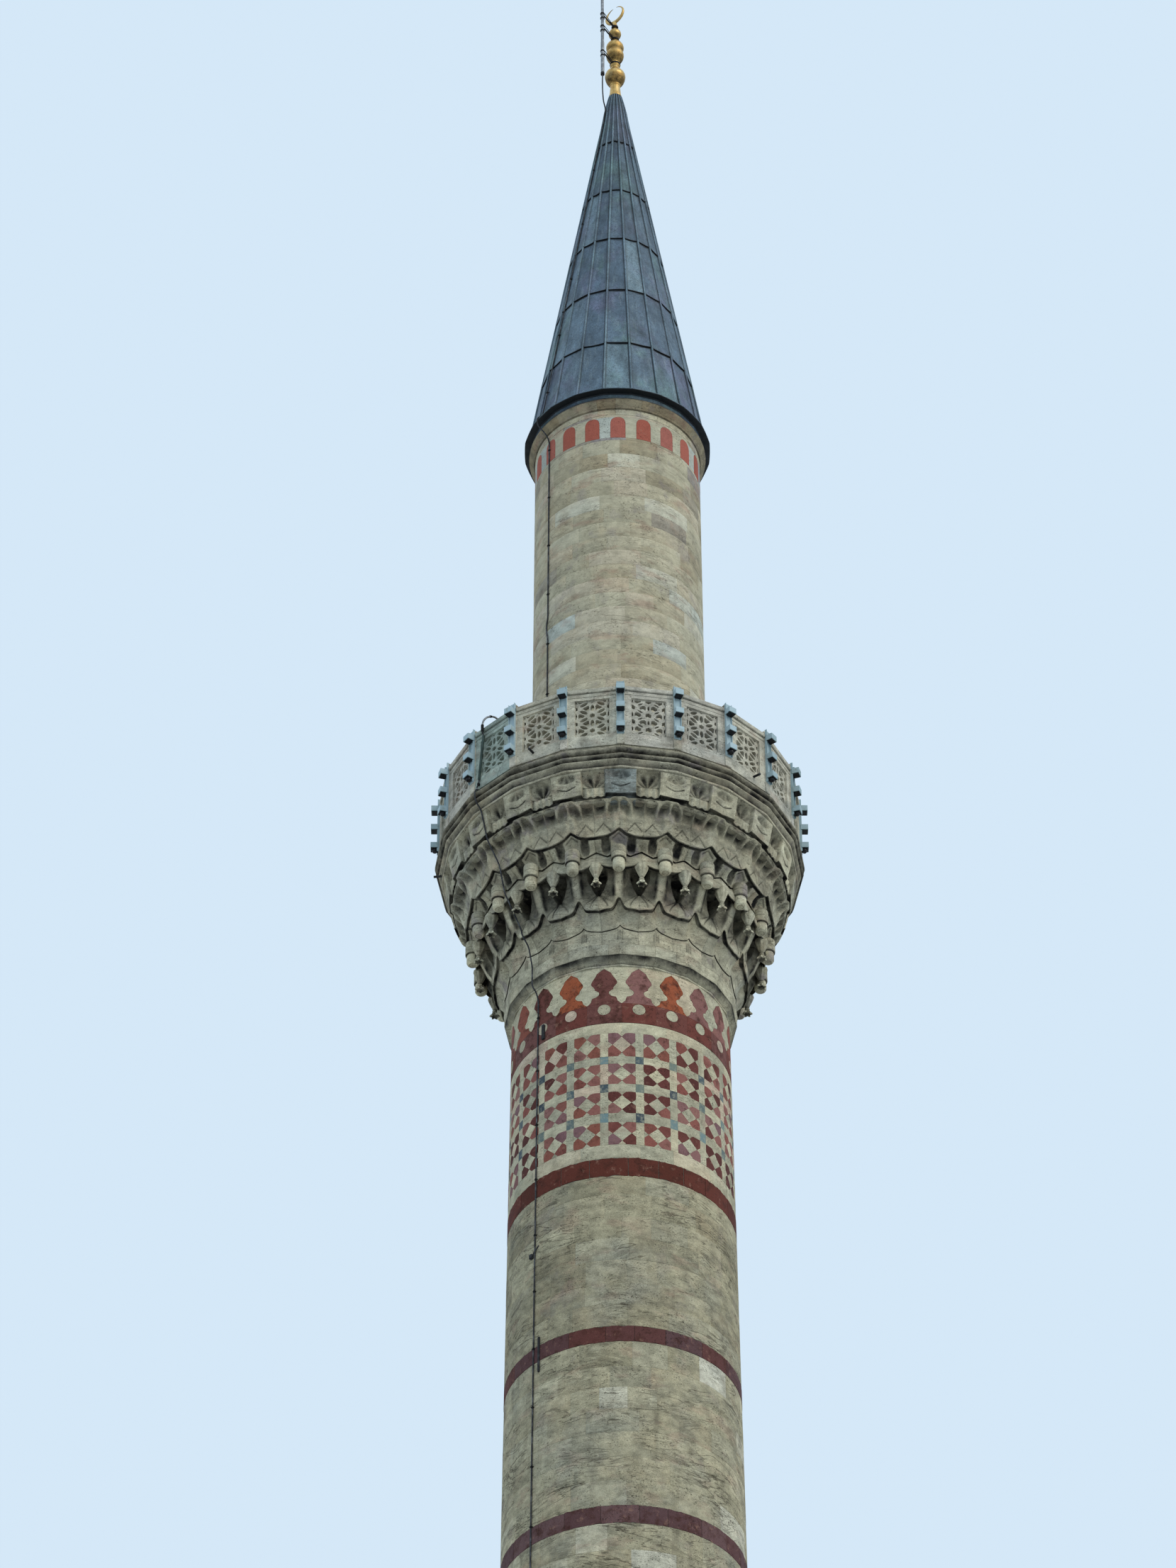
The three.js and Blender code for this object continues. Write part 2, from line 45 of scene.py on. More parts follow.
# Camera, sky and ground. The tower is seen from 60 m away, 30 m here, looking up at the balcony
# under an even grey sky. Azimuth 0 is the front of the tower, towards -Y, and grows towards +X.
pitch, yaw, roll = math.radians(40.9728), math.radians(0.0806), math.radians(-0.0594)
ahead = Vector((math.sin(yaw) * math.cos(pitch), math.cos(yaw) * math.cos(pitch), math.sin(pitch)))
level = Vector((math.cos(yaw), -math.sin(yaw), 0))
rightward = math.cos(roll) * level + math.sin(roll) * level.cross(ahead)
turn = Matrix((rightward, rightward.cross(ahead), -ahead)).transposed()
camera = bpy.data.objects.new("camera", bpy.data.cameras.new("camera"))
bpy.context.scene.collection.objects.link(camera)
camera.matrix_world = Matrix.Translation((-0.2618, -29.9989, 0.8)) @ turn.to_4x4()
camera.data.sensor_width = 36
camera.data.lens = 129.85
camera.data.clip_end = 1000
bpy.context.scene.camera = camera
bpy.context.scene.view_settings.view_transform = "Standard"

sky = bpy.data.worlds.new("even_sky")
sky.use_nodes = True
sky.node_tree.nodes["Background"].inputs["Color"].default_value = (0.665, 0.806, 0.935, 1)
bpy.context.scene.world = sky

sun = bpy.data.objects.new("veiled_sun", bpy.data.lights.new("veiled_sun", "SUN"))
bpy.context.scene.collection.objects.link(sun)
sun.data.energy = 1.15
sun.data.angle = math.radians(40)
sun.data.color = (1.0, 0.93, 0.8)
sun.rotation_euler = Vector((1.0, -1.0, 0.85)).to_track_quat("Z", "Y").to_euler()

ground = bpy.data.meshes.new("ground")
rim = [(120 * math.cos(a), 120 * math.sin(a), -0.002) for a in np.linspace(0, math.tau, 64, endpoint=False)]
ground.from_pydata(rim, [], [range(64)])
paving = bpy.data.materials.new("pale_ground")
paving.use_nodes = True
paving.node_tree.nodes["Principled BSDF"].inputs["Base Color"].default_value = (0.62, 0.61, 0.58, 1)
paving.node_tree.nodes["Principled BSDF"].inputs["Roughness"].default_value = 0.9
ground.materials.append(paving)
floor = bpy.data.objects.new("ground", ground)
bpy.context.scene.collection.objects.link(floor)

# Lower shaft: courses of grey limestone blocks, sawn, rubbed and laid on thin lime joints round a
# hollow core. Each block is cut here with slightly soft arrises and keeps a shade of its own.
FOOT, FOOT_RADIUS, HEAD, HEAD_RADIUS, WELL = 6817, 890, 24119, 742, 480


def wall_radius(height):
    return FOOT_RADIUS + (HEAD_RADIUS - FOOT_RADIUS) * (height - FOOT) / (HEAD - FOOT)


def around(azimuth, radius, height):
    """Points round the tower's axis, from degrees and millimetres."""
    turn = np.radians(azimuth)
    return np.stack(np.broadcast_arrays(radius * np.sin(turn), -radius * np.cos(turn), height), -1)


def facing(azimuth, across, out, height):
    """Points on a flat piece that faces an azimuth, from distances across it and out to it."""
    turn = math.radians(azimuth)
    x = across * math.cos(turn) + out * math.sin(turn)
    y = across * math.sin(turn) - out * math.cos(turn)
    return np.stack(np.broadcast_arrays(x, y, height), -1)


def all_round(count, whole=360):
    return np.linspace(0, whole, count, endpoint=False)


def by_column(rows):
    """A table as one upright column of numbers for each of its values."""
    return (np.array(column, float)[:, None] for column in zip(*rows))


def fitted_joints(sweep, least, draw):
    """Joints from 0 to sweep, at drawn widths that are then fitted to it."""
    spans = []
    while sum(spans) < sweep - least:
        spans.append(draw())
    return np.cumsum([0] + spans) * sweep / sum(spans)


class Stonework:
    """Stones cut one at a time, in millimetres, and set as one mesh. A shade tells one stone
    from the next, and a second value darkens it towards black: the black crust that lies on it,
    and painted shade in hollows, in grooves and under lips."""

    def __init__(self):
        self.points, self.corners, self.sizes = [], [], []
        self.shades, self.soots, self.finishes, self.total = [], [], [], 0

    def place(self, points, faces, shade=0.5, finish=0, soot=0.0):
        points = np.asarray(points, float).reshape(-1, 3)
        sizes = [len(face) for face in faces]
        corners = np.concatenate([np.asarray(face, int) for face in faces]) if len(faces) else []
        self.points.append(points)
        self.corners.append(corners + self.total)
        self.sizes.append(sizes)
        self.shades.append(np.broadcast_to(shade, len(points)))
        self.soots.append(np.broadcast_to(soot, len(points)))
        self.finishes.append(np.full(len(sizes), finish))
        self.total += len(points)

    def skin(self, grid, shade=0.5, finish=0, soot=0.0, ring=False, loop=False):
        """A skin over rows of points. A ring closes each row, and a loop joins the last row to the
        first. Shade and the darkening for crust and painted shade are one value each, or vary along the
        rows, across them or both."""
        rows, columns = grid.shape[:2]
        index = np.arange(rows * columns).reshape(rows, columns)
        if ring:
            index = np.concatenate([index, index[:, :1]], 1)
        if loop:
            index = np.concatenate([index, index[:1]], 0)
        quads = np.stack([index[:-1, :-1], index[:-1, 1:], index[1:, 1:], index[1:, :-1]], -1)
        shade, soot = (np.broadcast_to(value, (rows, columns)).ravel() for value in (shade, soot))
        self.place(grid, quads.reshape(-1, 4), shade, finish, soot)

    def cap(self, back, count, finish, order=1):
        """A flat end over a row of points, which starts so many points before the last."""
        self.place([], [[k - back for k in range(count)][::order]], finish=finish)

    def made(self, name, finishes, crease=38):
        mesh = bpy.data.meshes.new(name)
        points = np.concatenate(self.points) * 0.001
        corners = np.concatenate(self.corners).astype(np.int32)
        sizes = np.concatenate(self.sizes).astype(np.int32)
        mesh.vertices.add(len(points))
        mesh.vertices.foreach_set("co", points.astype(np.float32).ravel())
        mesh.loops.add(len(corners))
        mesh.loops.foreach_set("vertex_index", corners)
        mesh.polygons.add(len(sizes))
        mesh.polygons.foreach_set("loop_start", (np.cumsum(sizes) - sizes).astype(np.int32))
        mesh.polygons.foreach_set("material_index", np.concatenate(self.finishes).astype(np.int32))
        mesh.update(calc_edges=True)
        for label, values in (("shade", self.shades), ("soot", self.soots)):
            layer = mesh.attributes.new(label, "FLOAT", "POINT")
            layer.data.foreach_set("value", np.concatenate(values).astype(np.float32))
        mesh.polygons.foreach_set("use_smooth", np.ones(len(sizes), bool))
        mesh.set_sharp_from_angle(angle=math.radians(crease))
        for finish in finishes:
            mesh.materials.append(finish)
        piece = bpy.data.objects.new(name, mesh)
        bpy.context.scene.collection.objects.link(piece)
        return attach(piece, "root")


ARRIS, JOINT_DEPTH = 2.0, 1.3


def cut_block(work, turn, height, radius, shade, finish=0, stride=3.5, swell=0.0, worn=None):
    """One curved block between two azimuths and two heights, with its arrises taken off. Worn
    gives an uneven line to its long edges, drawn from dice and as deep as it says."""
    (a0, a1), (z0, z1) = turn, height
    soft = math.degrees(ARRIS / radius(z0))
    inner = max(2, int(round((a1 - a0) / stride)))
    columns = np.concatenate([[a0], np.linspace(a0 + soft, a1 - soft, inner + 1), [a1]])
    rows = np.array([z0, z0 + ARRIS, z1 - ARRIS, z1])
    out = np.full((4, len(columns)), swell)
    out[[0, -1], :] = out[:, [0, -1]] = 0
    sunk = np.zeros_like(out)
    sunk[[0, -1], :] = -JOINT_DEPTH
    sunk[:, [0, -1]] = -JOINT_DEPTH
    radii = np.array([radius(z) for z in rows])[:, None] + sunk + out
    heights = np.tile(rows[:, None], len(columns))
    if worn:
        for pair in (slice(0, 2), slice(2, 4)):
            heights[pair] += [worn[0].uniform(-worn[1], worn[1]) for _ in columns]
    work.skin(around(columns[None, :], radii, heights), shade, finish)


def lay_courses(work, low, high, radius, rise, dice, widths=(13, 27), stride=3.5, finish=0, shades=(0, 1)):
    """Whole courses between two heights, each with its own rise and its own row of blocks."""
    count = max(1, round((high - low) / rise))
    beds = np.cumsum([0] + [dice.uniform(0.86, 1.14) for _ in range(count)])
    beds = low + (high - low) * beds / beds[-1]
    for z0, z1 in zip(beds, beds[1:]):
        joints = fitted_joints(360, widths[0], lambda: dice.uniform(*widths)) + dice.uniform(0, 360)
        for a0, a1 in zip(joints, joints[1:]):
            cut_block(work, (a0, a1), (z0, z1), radius, dice.uniform(*shades), finish, stride,
                      dice.uniform(-0.7, 0.7))


def hearting(work, low, high, radius, well=WELL, finish=1):
    """The lime and rubble behind the facing, closed all round, with the stair well inside."""
    turns = all_round(90)[None, :]
    line = [(well, low), (radius(low) - 3, low), (radius(high) - 3, high), (well, high)]
    r, z = by_column(line)
    work.skin(around(turns, r, z), 0.5, finish, ring=True, loop=True)


class Flow:
    """A value or colour on its way through a finish. Sums on it become Math nodes."""

    def __init__(self, finish, socket):
        self.finish, self.socket = finish, socket

    def sum(self, operation, first, second):
        return self.finish.node("Math", {"operation": operation}, {0: first, 1: second})

    def __add__(self, other):
        return self.sum("ADD", self, other)

    def __sub__(self, other):
        return self.sum("SUBTRACT", self, other)

    def __rsub__(self, other):
        return self.sum("SUBTRACT", other, self)

    def __mul__(self, other):
        return self.sum("MULTIPLY", self, other)

    def between(self, low, high):
        """0 up to low, 1 from high, with a soft slope between."""
        ends = {"From Min": low, "From Max": high}
        return self.finish.node("MapRange", {"interpolation_type": "SMOOTHSTEP"}, {"Value": self, **ends})


class Finish:
    """The finish of one surface: a material with the nodes that paint it."""

    def __init__(self, name, roughness=0.85, metallic=0.0, gloss=0.15):
        self.material = bpy.data.materials.new(name)
        self.material.use_nodes = True
        self.tree = self.material.node_tree
        self.shader = self.tree.nodes["Principled BSDF"]
        self.shader.inputs["Roughness"].default_value = roughness
        self.shader.inputs["Metallic"].default_value = metallic
        self.shader.inputs["Specular IOR Level"].default_value = gloss
        self.place = self.node("TexCoord", {}, {}, "Object")
        self.shade = self.node("Attribute", {"attribute_name": "shade"}, {}, "Fac")
        # Per-point darkening read by the finishes: black crust, and painted shade in hollows, grooves and
        # under lips.
        self.soot = self.node("Attribute", {"attribute_name": "soot"}, {}, "Fac")

    def node(self, kind, settings, sockets, output=0):
        made = self.tree.nodes.new("ShaderNode" + kind)
        for name, value in settings.items():
            if name == "stops":
                while len(made.color_ramp.elements) < len(value):
                    made.color_ramp.elements.new(0.5)
                for element, (at, colour) in zip(made.color_ramp.elements, value):
                    element.position, element.color = at, (*colour, 1)
            else:
                setattr(made, name, value)
        for name, value in sockets.items():
            self.feed(made.inputs[name], value)
        return Flow(self, made.outputs[output])

    def feed(self, socket, value):
        if isinstance(value, Flow):
            self.tree.links.new(value.socket, socket)
        elif hasattr(value, "__len__") and len(value) == 3 and socket.type == "RGBA":
            socket.default_value = (*value, 1)
        else:
            socket.default_value = value

    def mix(self, first, second, share, blend="MIX"):
        kind = {"data_type": "RGBA", "blend_type": blend}
        return self.node("Mix", kind, {0: share, 6: first, 7: second}, 2)

    def ramp(self, value, *stops):
        return self.node("ValToRGB", {"stops": stops}, {"Fac": value})

    def grained(self, colour, value, low, high, share):
        """The colour made darker and lighter by a value, from a stop and a grey at each end."""
        greys = self.ramp(value, *((at, (grey,) * 3) for at, grey in (low, high)))
        return self.mix(colour, greys, share, "OVERLAY")

    def vector(self, operation, first, second):
        return self.node("VectorMath", {"operation": operation}, {0: first, 1: second})

    def axes(self, values):
        return self.node("CombineXYZ", {}, values)

    def stretched(self, *scale, shift=None):
        """The place on the object, drawn out along each axis and moved by a shift."""
        place = self.vector("MULTIPLY", self.place, scale)
        if shift is not None:
            place = self.vector("ADD", place, self.axes({0: shift, 1: shift, 2: shift}))
        return place

    def noise(self, scale, detail=4, rough=0.55, at=None):
        sockets = {"Vector": at or self.place, "Scale": scale, "Detail": detail, "Roughness": rough}
        return self.node("TexNoise", {}, sockets, "Fac")

    def done(self, colour, height=None, depth=0.004, roughness=None):
        self.feed(self.shader.inputs["Base Color"], colour)
        if height is not None:
            bump = self.node("Bump", {}, {"Height": height, "Distance": depth, "Strength": 0.9}, "Normal")
            self.feed(self.shader.inputs["Normal"], bump)
        if roughness is not None:
            self.feed(self.shader.inputs["Roughness"], roughness)
        return self.material


def limestone(name, shades, warm=0.3, cool=0.3, bedding=0.6, crust_and_shade_share=0.5, mottle=1.0, soiled=0.12):
    """Weathered limestone: a shade and a cast for each block, ochre, rose and blue-grey clouds, dark
    wavy bedding that stops at the joints, dense small pits, and near black from the per-point
    darkening: black crust where rain doesn't wash, and painted shade in hollows, grooves and under lips."""
    stone = Finish(name, 0.88)
    own = stone.node("TexWhiteNoise", {"noise_dimensions": "1D"}, {"W": stone.shade * 917}, "Color")
    own_warm, own_cool = (stone.node("SeparateColor", {}, {"Color": own}, part) for part in ("Red", "Green"))
    colour = stone.ramp(stone.shade, *shades)
    clouds = stone.noise(2.6, 4, 0.65, stone.stretched(1, 1, 1.6, shift=stone.shade * 7))
    ochre = clouds.between(0.50, 0.72) * 0.7 + own_warm.between(0.55, 1) * 0.5
    colour = stone.mix(colour, (0.36, 0.26, 0.15), ochre * warm)
    rosy = stone.noise(4.1, 3, 0.6, stone.stretched(1, 1, 2.2)).between(0.54, 0.70)
    colour = stone.mix(colour, (0.34, 0.21, 0.15), rosy * warm)
    chill = stone.noise(1.7, 4, 0.65).between(0.48, 0.70)
    colour = stone.mix(colour, (0.21, 0.24, 0.235), (chill * 0.8 + own_cool.between(0.6, 1) * 0.5) * cool)
    blotches = stone.noise(11, 5, 0.72, stone.stretched(1, 1, 1.5))
    colour = stone.grained(colour, blotches, (0.34, 0.30), (0.68, 0.72), 0.75 * mottle)
    sag = stone.noise(1.3, 2, 0.5)
    strata = stone.vector("ADD", stone.place, stone.axes({2: sag * 0.5}))
    strata = stone.vector("MULTIPLY", strata, (2.4, 2.4, 17))
    strata = stone.vector("ADD", strata, stone.axes({0: stone.shade * 61}))
    layers = stone.noise(1.0, 7, 0.66, strata)
    soft = layers.between(0.50, 0.53) * (1 - layers.between(0.54, 0.60))
    patchy = stone.noise(3.4, 3, 0.55)
    bed = soft * patchy.between(0.48, 0.64) * 0.5
    wavy = stone.vector("ADD", stone.place, stone.axes({2: sag * 0.35}))
    cracks = stone.noise(1.0, 5, 0.5, stone.vector("MULTIPLY", wavy, (1.7, 1.7, 9)))
    crack = cracks.between(0.488, 0.497) * (1 - cracks.between(0.503, 0.512))
    crack = crack + cracks.between(0.578, 0.584) * (1 - cracks.between(0.588, 0.594))
    dashes = stone.noise(1.0, 3, 0.6, stone.stretched(11, 11, 62)).between(0.60, 0.66)
    dashes = dashes * stone.noise(2.3, 3, 0.6).between(0.48, 0.62)
    bed = (bed + crack * stone.noise(2.1, 3, 0.6).between(0.44, 0.56) + dashes * 0.8) * bedding
    colour = stone.mix(colour, (0.060, 0.048, 0.030), bed)
    streaks = stone.noise(1.0, 4, 0.6, stone.stretched(8, 8, 1.1)).between(0.55, 0.72)
    colour = stone.mix(colour, (0.10, 0.085, 0.06), streaks * 0.35 * mottle)
    pits = stone.noise(64, 6, 0.78, stone.stretched(1, 1, 1.7))
    holes = pits.between(0.565, 0.65) * stone.noise(5.5, 4, 0.62).between(0.42, 0.60)
    colour = stone.mix(colour, (0.045, 0.037, 0.024), holes * 0.85 * mottle)
    grain = stone.noise(210, 3, 0.75)
    colour = stone.grained(colour, grain, (0.30, 0.24), (0.70, 0.78), 0.7 * mottle)
    smuts = stone.noise(6.5, 6, 0.68, stone.stretched(1, 1, 1.2)).between(0.50, 0.68)
    colour = stone.mix(colour, (0.060, 0.052, 0.038), smuts * soiled)
    mauve = stone.noise(4.3, 4, 0.6, stone.stretched(1.3, 1.3, 1)).between(0.56, 0.70)
    colour = stone.mix(colour, (0.205, 0.165, 0.200), mauve * soiled)
    # Near black from the per-point darkening: crust where rain doesn't wash, and painted shade in hollows,
    # grooves and under lips.
    crust = stone.soot * (stone.noise(9, 4, 0.6).between(0.3, 0.7) * 0.5 + 0.65) * crust_and_shade_share
    colour = stone.mix(colour, (0.011, 0.010, 0.009), crust)
    relief = grain * 0.25 - bed * 1.2 - holes * 0.9 + layers * 0.5 + blotches * 0.4
    return stone.done(colour, relief, 0.004)


ashlar = limestone("shaft_limestone", [(0.0, (0.250, 0.222, 0.145)), (0.35, (0.335, 0.300, 0.200)),
                                       (0.75, (0.375, 0.338, 0.228)), (0.92, (0.435, 0.395, 0.275)),
                                       (1.0, (0.55, 0.53, 0.44))])
lime = Finish("lime_joint", 0.95)
lime = lime.done(lime.ramp(lime.noise(40), (0.3, (0.16, 0.15, 0.12)), (0.7, (0.25, 0.24, 0.19))))

RED_RINGS = [(20167, 20297), (21536, 21656), (22850, 22994)]
RING_PITCH, FIRST_COURSES = 1348, 100
low_rings = [tuple(z - RING_PITCH * k for z in RED_RINGS[0]) for k in range(9, 0, -1)]
low_rings = [ring for ring in low_rings if ring[0] > FOOT + FIRST_COURSES]
dice = random.Random(11)
shaft = Stonework()
floor_of_course = FOOT
for z0, z1 in low_rings + RED_RINGS[:1]:
    lay_courses(shaft, floor_of_course, z0, wall_radius, 182, dice, stride=4.5, shades=(0.25, 1))
    floor_of_course = z1
hearting(shaft, FOOT, RED_RINGS[0][0], wall_radius)
piece = shaft.made("shaft_lower_ashlar", [ashlar, lime])
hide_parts("shaft_lower")

for name, below, above, shades in (("second", 0, 1, (0.22, 1)), ("first", 1, 2, (0, 0.7))):
    stage = Stonework()
    z0, z1 = RED_RINGS[below][1], RED_RINGS[above][0]
    lay_courses(stage, z0, z1, wall_radius, 176, dice, stride=2.8, shades=shades)
    hearting(stage, z0, z1, wall_radius)
    piece = stage.made(f"shaft_{name}_ashlar", [ashlar, lime])
    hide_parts(f"shaft_stage_{name}")

# Red string courses: rings of dark red porphyry-like stone, one course high, between the stages
# of the shaft. The blocks are longer than the grey ones and their faces are pitted and rubbed.


def red_stone(name, *stops, pitted=0.7):
    """Dark red stone: a shade for each piece, browner and paler blooms, small black pits and grain."""
    stone = Finish(name, 0.82)
    colour = stone.ramp(stone.shade, *stops)
    colour = stone.mix(colour, (0.050, 0.016, 0.010), stone.noise(13, 5, 0.65).between(0.46, 0.70) * pitted)
    colour = stone.mix(colour, (0.31, 0.17, 0.12), stone.noise(21, 4, 0.65).between(0.57, 0.75) * 0.5)
    pits = stone.noise(62, 6, 0.75).between(0.57, 0.67) * stone.noise(6, 3, 0.6).between(0.44, 0.62)
    colour = stone.mix(colour, (0.016, 0.008, 0.006), pits * pitted)
    grain = stone.noise(230, 3, 0.75)
    colour = stone.grained(colour, grain, (0.3, 0.26), (0.7, 0.76), 0.7)
    colour = stone.mix(colour, (0.020, 0.015, 0.012), stone.soot)
    return stone.done(colour, grain * 0.3 - pits, 0.003)


band_red = red_stone("band_red", (0.0, (0.080, 0.020, 0.012)), (0.4, (0.112, 0.029, 0.019)),
                     (0.7, (0.090, 0.046, 0.048)), (1.0, (0.138, 0.076, 0.074)), pitted=0.8)


def lay_ring(work, z0, z1, dice, shades, joint=0.04, uneven=4.0):
    joints = fitted_joints(360, 10, lambda: dice.choice((13.5, 15, 17, 18, 19, 20))) + dice.uniform(0, 360)
    for a0, a1 in zip(joints, joints[1:]):
        swell = dice.uniform(0.6, 1.6)
        cut_block(work, (a0 + joint, a1 - joint), (z0, z1), wall_radius, dice.uniform(*shades), 0, 1.6,
                  swell, (dice, uneven))
    hearting(work, z0, z1, wall_radius)


lower = Stonework()
for z0, z1 in low_rings:
    lay_ring(lower, z0, z1, dice, (0.2, 1.0))
lower.made("red_rings_lower", [band_red, lime])
RING_LOOKS = [("third", (0.6, 1.0), 0.04, 4.5), ("second", (0.5, 0.82), 0.04, 4.5),
              ("first", (0.0, 0.45), 0.1, 6.5)]
for (name, *look), (z0, z1) in zip(RING_LOOKS, RED_RINGS):
    ring = Stonework()
    lay_ring(ring, z0, z1, dice, *look)
    piece = ring.made(f"red_ring_{name}", [band_red, lime])
    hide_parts(f"red_band_{name}")

# Chequered course: four rows of twenty panels, each a cream lozenge set between four dark red
# pieces cut from flat slabs, framed by cream strips with small green and blue squares where they
# cross. All the pieces are inlaid flush in lime.
PANELS = 20
BAY = 360 / PANELS
BAND_RADIUS = 746


def slab_pattern(outline, holes=(), bend=3.0, thick=6.0, gap=0.7):
    """A flat slab in millimetres along the wall and up it, drawn in a little for its joint and cut
    every few degrees so that it can follow the curve. It gives points and faces."""
    form = bmesh.new()
    for loop, way in [(outline, 1)] + [(hole, -1) for hole in holes]:
        loop = np.array(loop, float)
        area = np.sum(loop[:, 0] * np.roll(loop[:, 1], -1) - np.roll(loop[:, 0], -1) * loop[:, 1])
        if area < 0:
            loop = loop[::-1]
        ahead_edge = np.roll(loop, -1, 0) - loop
        ahead_edge /= np.maximum(np.linalg.norm(ahead_edge, axis=1, keepdims=True), 1e-6)
        behind_edge = np.roll(ahead_edge, 1, 0)
        inward = np.stack([-ahead_edge[:, 1] - behind_edge[:, 1], ahead_edge[:, 0] + behind_edge[:, 0]], 1)
        inward /= np.maximum(np.linalg.norm(inward, axis=1, keepdims=True), 1e-6)
        corners = [form.verts.new((x, y, 0)) for x, y in loop + inward * gap * way]
        for a, b in zip(corners, corners[1:] + corners[:1]):
            form.edges.new((a, b))
    bmesh.ops.triangle_fill(form, use_beauty=True, use_dissolve=False, edges=form.edges[:])
    if bend:
        pitch = math.radians(bend) * BAND_RADIUS
        low, high = min(v.co.x for v in form.verts), max(v.co.x for v in form.verts)
        for cut in np.arange(math.ceil((low + 1) / pitch) * pitch, high - 1, pitch):
            whole = form.verts[:] + form.edges[:] + form.faces[:]
            bmesh.ops.bisect_plane(form, geom=whole, plane_co=(cut, 0, 0), plane_no=(1, 0, 0))
    form.normal_update()
    if sum(face.normal.z * face.calc_area() for face in form.faces) < 0:
        bmesh.ops.reverse_faces(form, faces=form.faces[:])
    form.verts.index_update()
    count = len(form.verts)
    flat = np.array([(v.co.x, v.co.y) for v in form.verts])
    faces = [[loop.vert.index for loop in face.loops] for face in form.faces]
    sides = []
    for edge in form.edges:
        if edge.is_boundary:
            loop = edge.link_loops[0]
            a, b = loop.vert.index, loop.link_loop_next.vert.index
            sides.append([a, a + count, b + count, b])
    backs = [[corner + count for corner in reversed(face)] for face in faces]
    form.free()
    points = np.concatenate([np.c_[flat, np.zeros(count)], np.c_[flat, np.full(count, -thick)]])
    return points, faces + sides + backs


def inlay(work, pattern, azimuth, height, radius, shade, finish, lift=0.0):
    points, faces = pattern
    turns = azimuth + np.degrees(points[:, 0] / BAND_RADIUS)
    heights = height + points[:, 1]
    work.place(around(turns, radius(heights) + points[:, 2] + lift, heights), faces, shade, finish)


def oblong(x0, x1, y0, y1):
    return [(x0, y0), (x1, y0), (x1, y1), (x0, y1)]


ROWS = [(23836, 24032), (23605, 23775), (23364, 23538), (23105, 23288)]
BAND_LOW, BAND_HIGH = 22994, 24119
HALF_PANEL = 90
STRIP = math.radians(BAY / 2) * BAND_RADIUS - HALF_PANEL

cream = limestone("cream_inlay", [(0.0, (0.36, 0.335, 0.24)), (0.5, (0.45, 0.42, 0.30)),
                                  (0.8, (0.52, 0.47, 0.32)), (1.0, (0.50, 0.39, 0.29))], warm=0.3,
                  cool=0.12, bedding=0.2, mottle=0.8)
inlay_red = red_stone("inlay_red", (0.0, (0.085, 0.026, 0.022)), (0.3, (0.115, 0.034, 0.028)),
                      (0.5, (0.235, 0.078, 0.060)), (0.75, (0.250, 0.118, 0.100)),
                      (0.9, (0.185, 0.098, 0.104)), (1.0, (0.220, 0.075, 0.052)), pitted=0.5)
glazed = Finish("green_and_blue_squares", 0.6)
square_tint = glazed.ramp(glazed.shade, (0.0, (0.034, 0.046, 0.062)), (0.35, (0.075, 0.105, 0.115)),
                          (0.75, (0.160, 0.195, 0.160)), (1.0, (0.140, 0.215, 0.225)))
glazed = glazed.done(glazed.mix(square_tint, (0.30, 0.30, 0.23),
                                glazed.noise(34, 5, 0.7).between(0.46, 0.66) * 0.7), glazed.noise(120),
                     0.002)


def bowed(outline, bow):
    """The outline with each long side bowed outwards and each corner worn round."""
    path = []
    centre = np.mean(outline, axis=0)
    for here, ahead_corner in zip(outline, outline[1:] + outline[:1]):
        here, ahead_corner = np.array(here, float), np.array(ahead_corner, float)
        along = ahead_corner - here
        length = np.linalg.norm(along)
        out = np.array([along[1], -along[0]]) / length
        if np.dot(out, here + along / 2 - centre) < 0:
            out = -out
        for t in (0.07, 0.3, 0.5, 0.7, 0.93):
            path.append(tuple(here + along * t + out * bow * min(1, length / 60) * (1 - (2 * t - 1) ** 2)))
    return path


band = Stonework()
dice = random.Random(23)
for low, high in ROWS:
    # Half a panel across and up, the reach of the lozenge across, and half a notch at the edge.
    a, b = HALF_PANEL, (high - low) / 2
    d, n = 0.68 * a, 0.29 * a
    lozenge = slab_pattern([(0, -d * b / a), (d, 0), (0, d * b / a), (-d, 0)])
    quarters = []
    for sx in (-1, 1):
        for sy in (-1, 1):
            corner = [(a, b), (n, b), (0, d * b / a), (d, 0), (a, n * b / a)]
            quarters.append(slab_pattern(bowed([(sx * x, sy * y) for x, y in corner], 3.5), gap=1.2))
    notches = [slab_pattern([(sx * a, -n * b / a), (sx * a, n * b / a), (sx * d, 0)]) for sx in (-1, 1)]
    notches += [slab_pattern([(-n, sy * b), (n, sy * b), (0, sy * d * b / a)]) for sy in (-1, 1)]
    upright = slab_pattern(oblong(-STRIP, STRIP, -b, b))
    for k in range(PANELS):
        middle, family = (low + high) / 2, dice.random()
        inlay(band, lozenge, k * BAY, middle, wall_radius, dice.random(), 0, dice.uniform(-0.4, 0.5))
        for quarter in quarters:
            shade = min(1, max(0, family + dice.uniform(-0.45, 0.45)))
            inlay(band, quarter, k * BAY, middle, wall_radius, shade, 1, dice.uniform(-0.6, 0.4))
        for notch in notches:
            inlay(band, notch, k * BAY, middle, wall_radius, dice.random(), 0)
        inlay(band, upright, (k + 0.5) * BAY, middle, wall_radius, dice.random(), 0, dice.uniform(-0.3, 0.4))
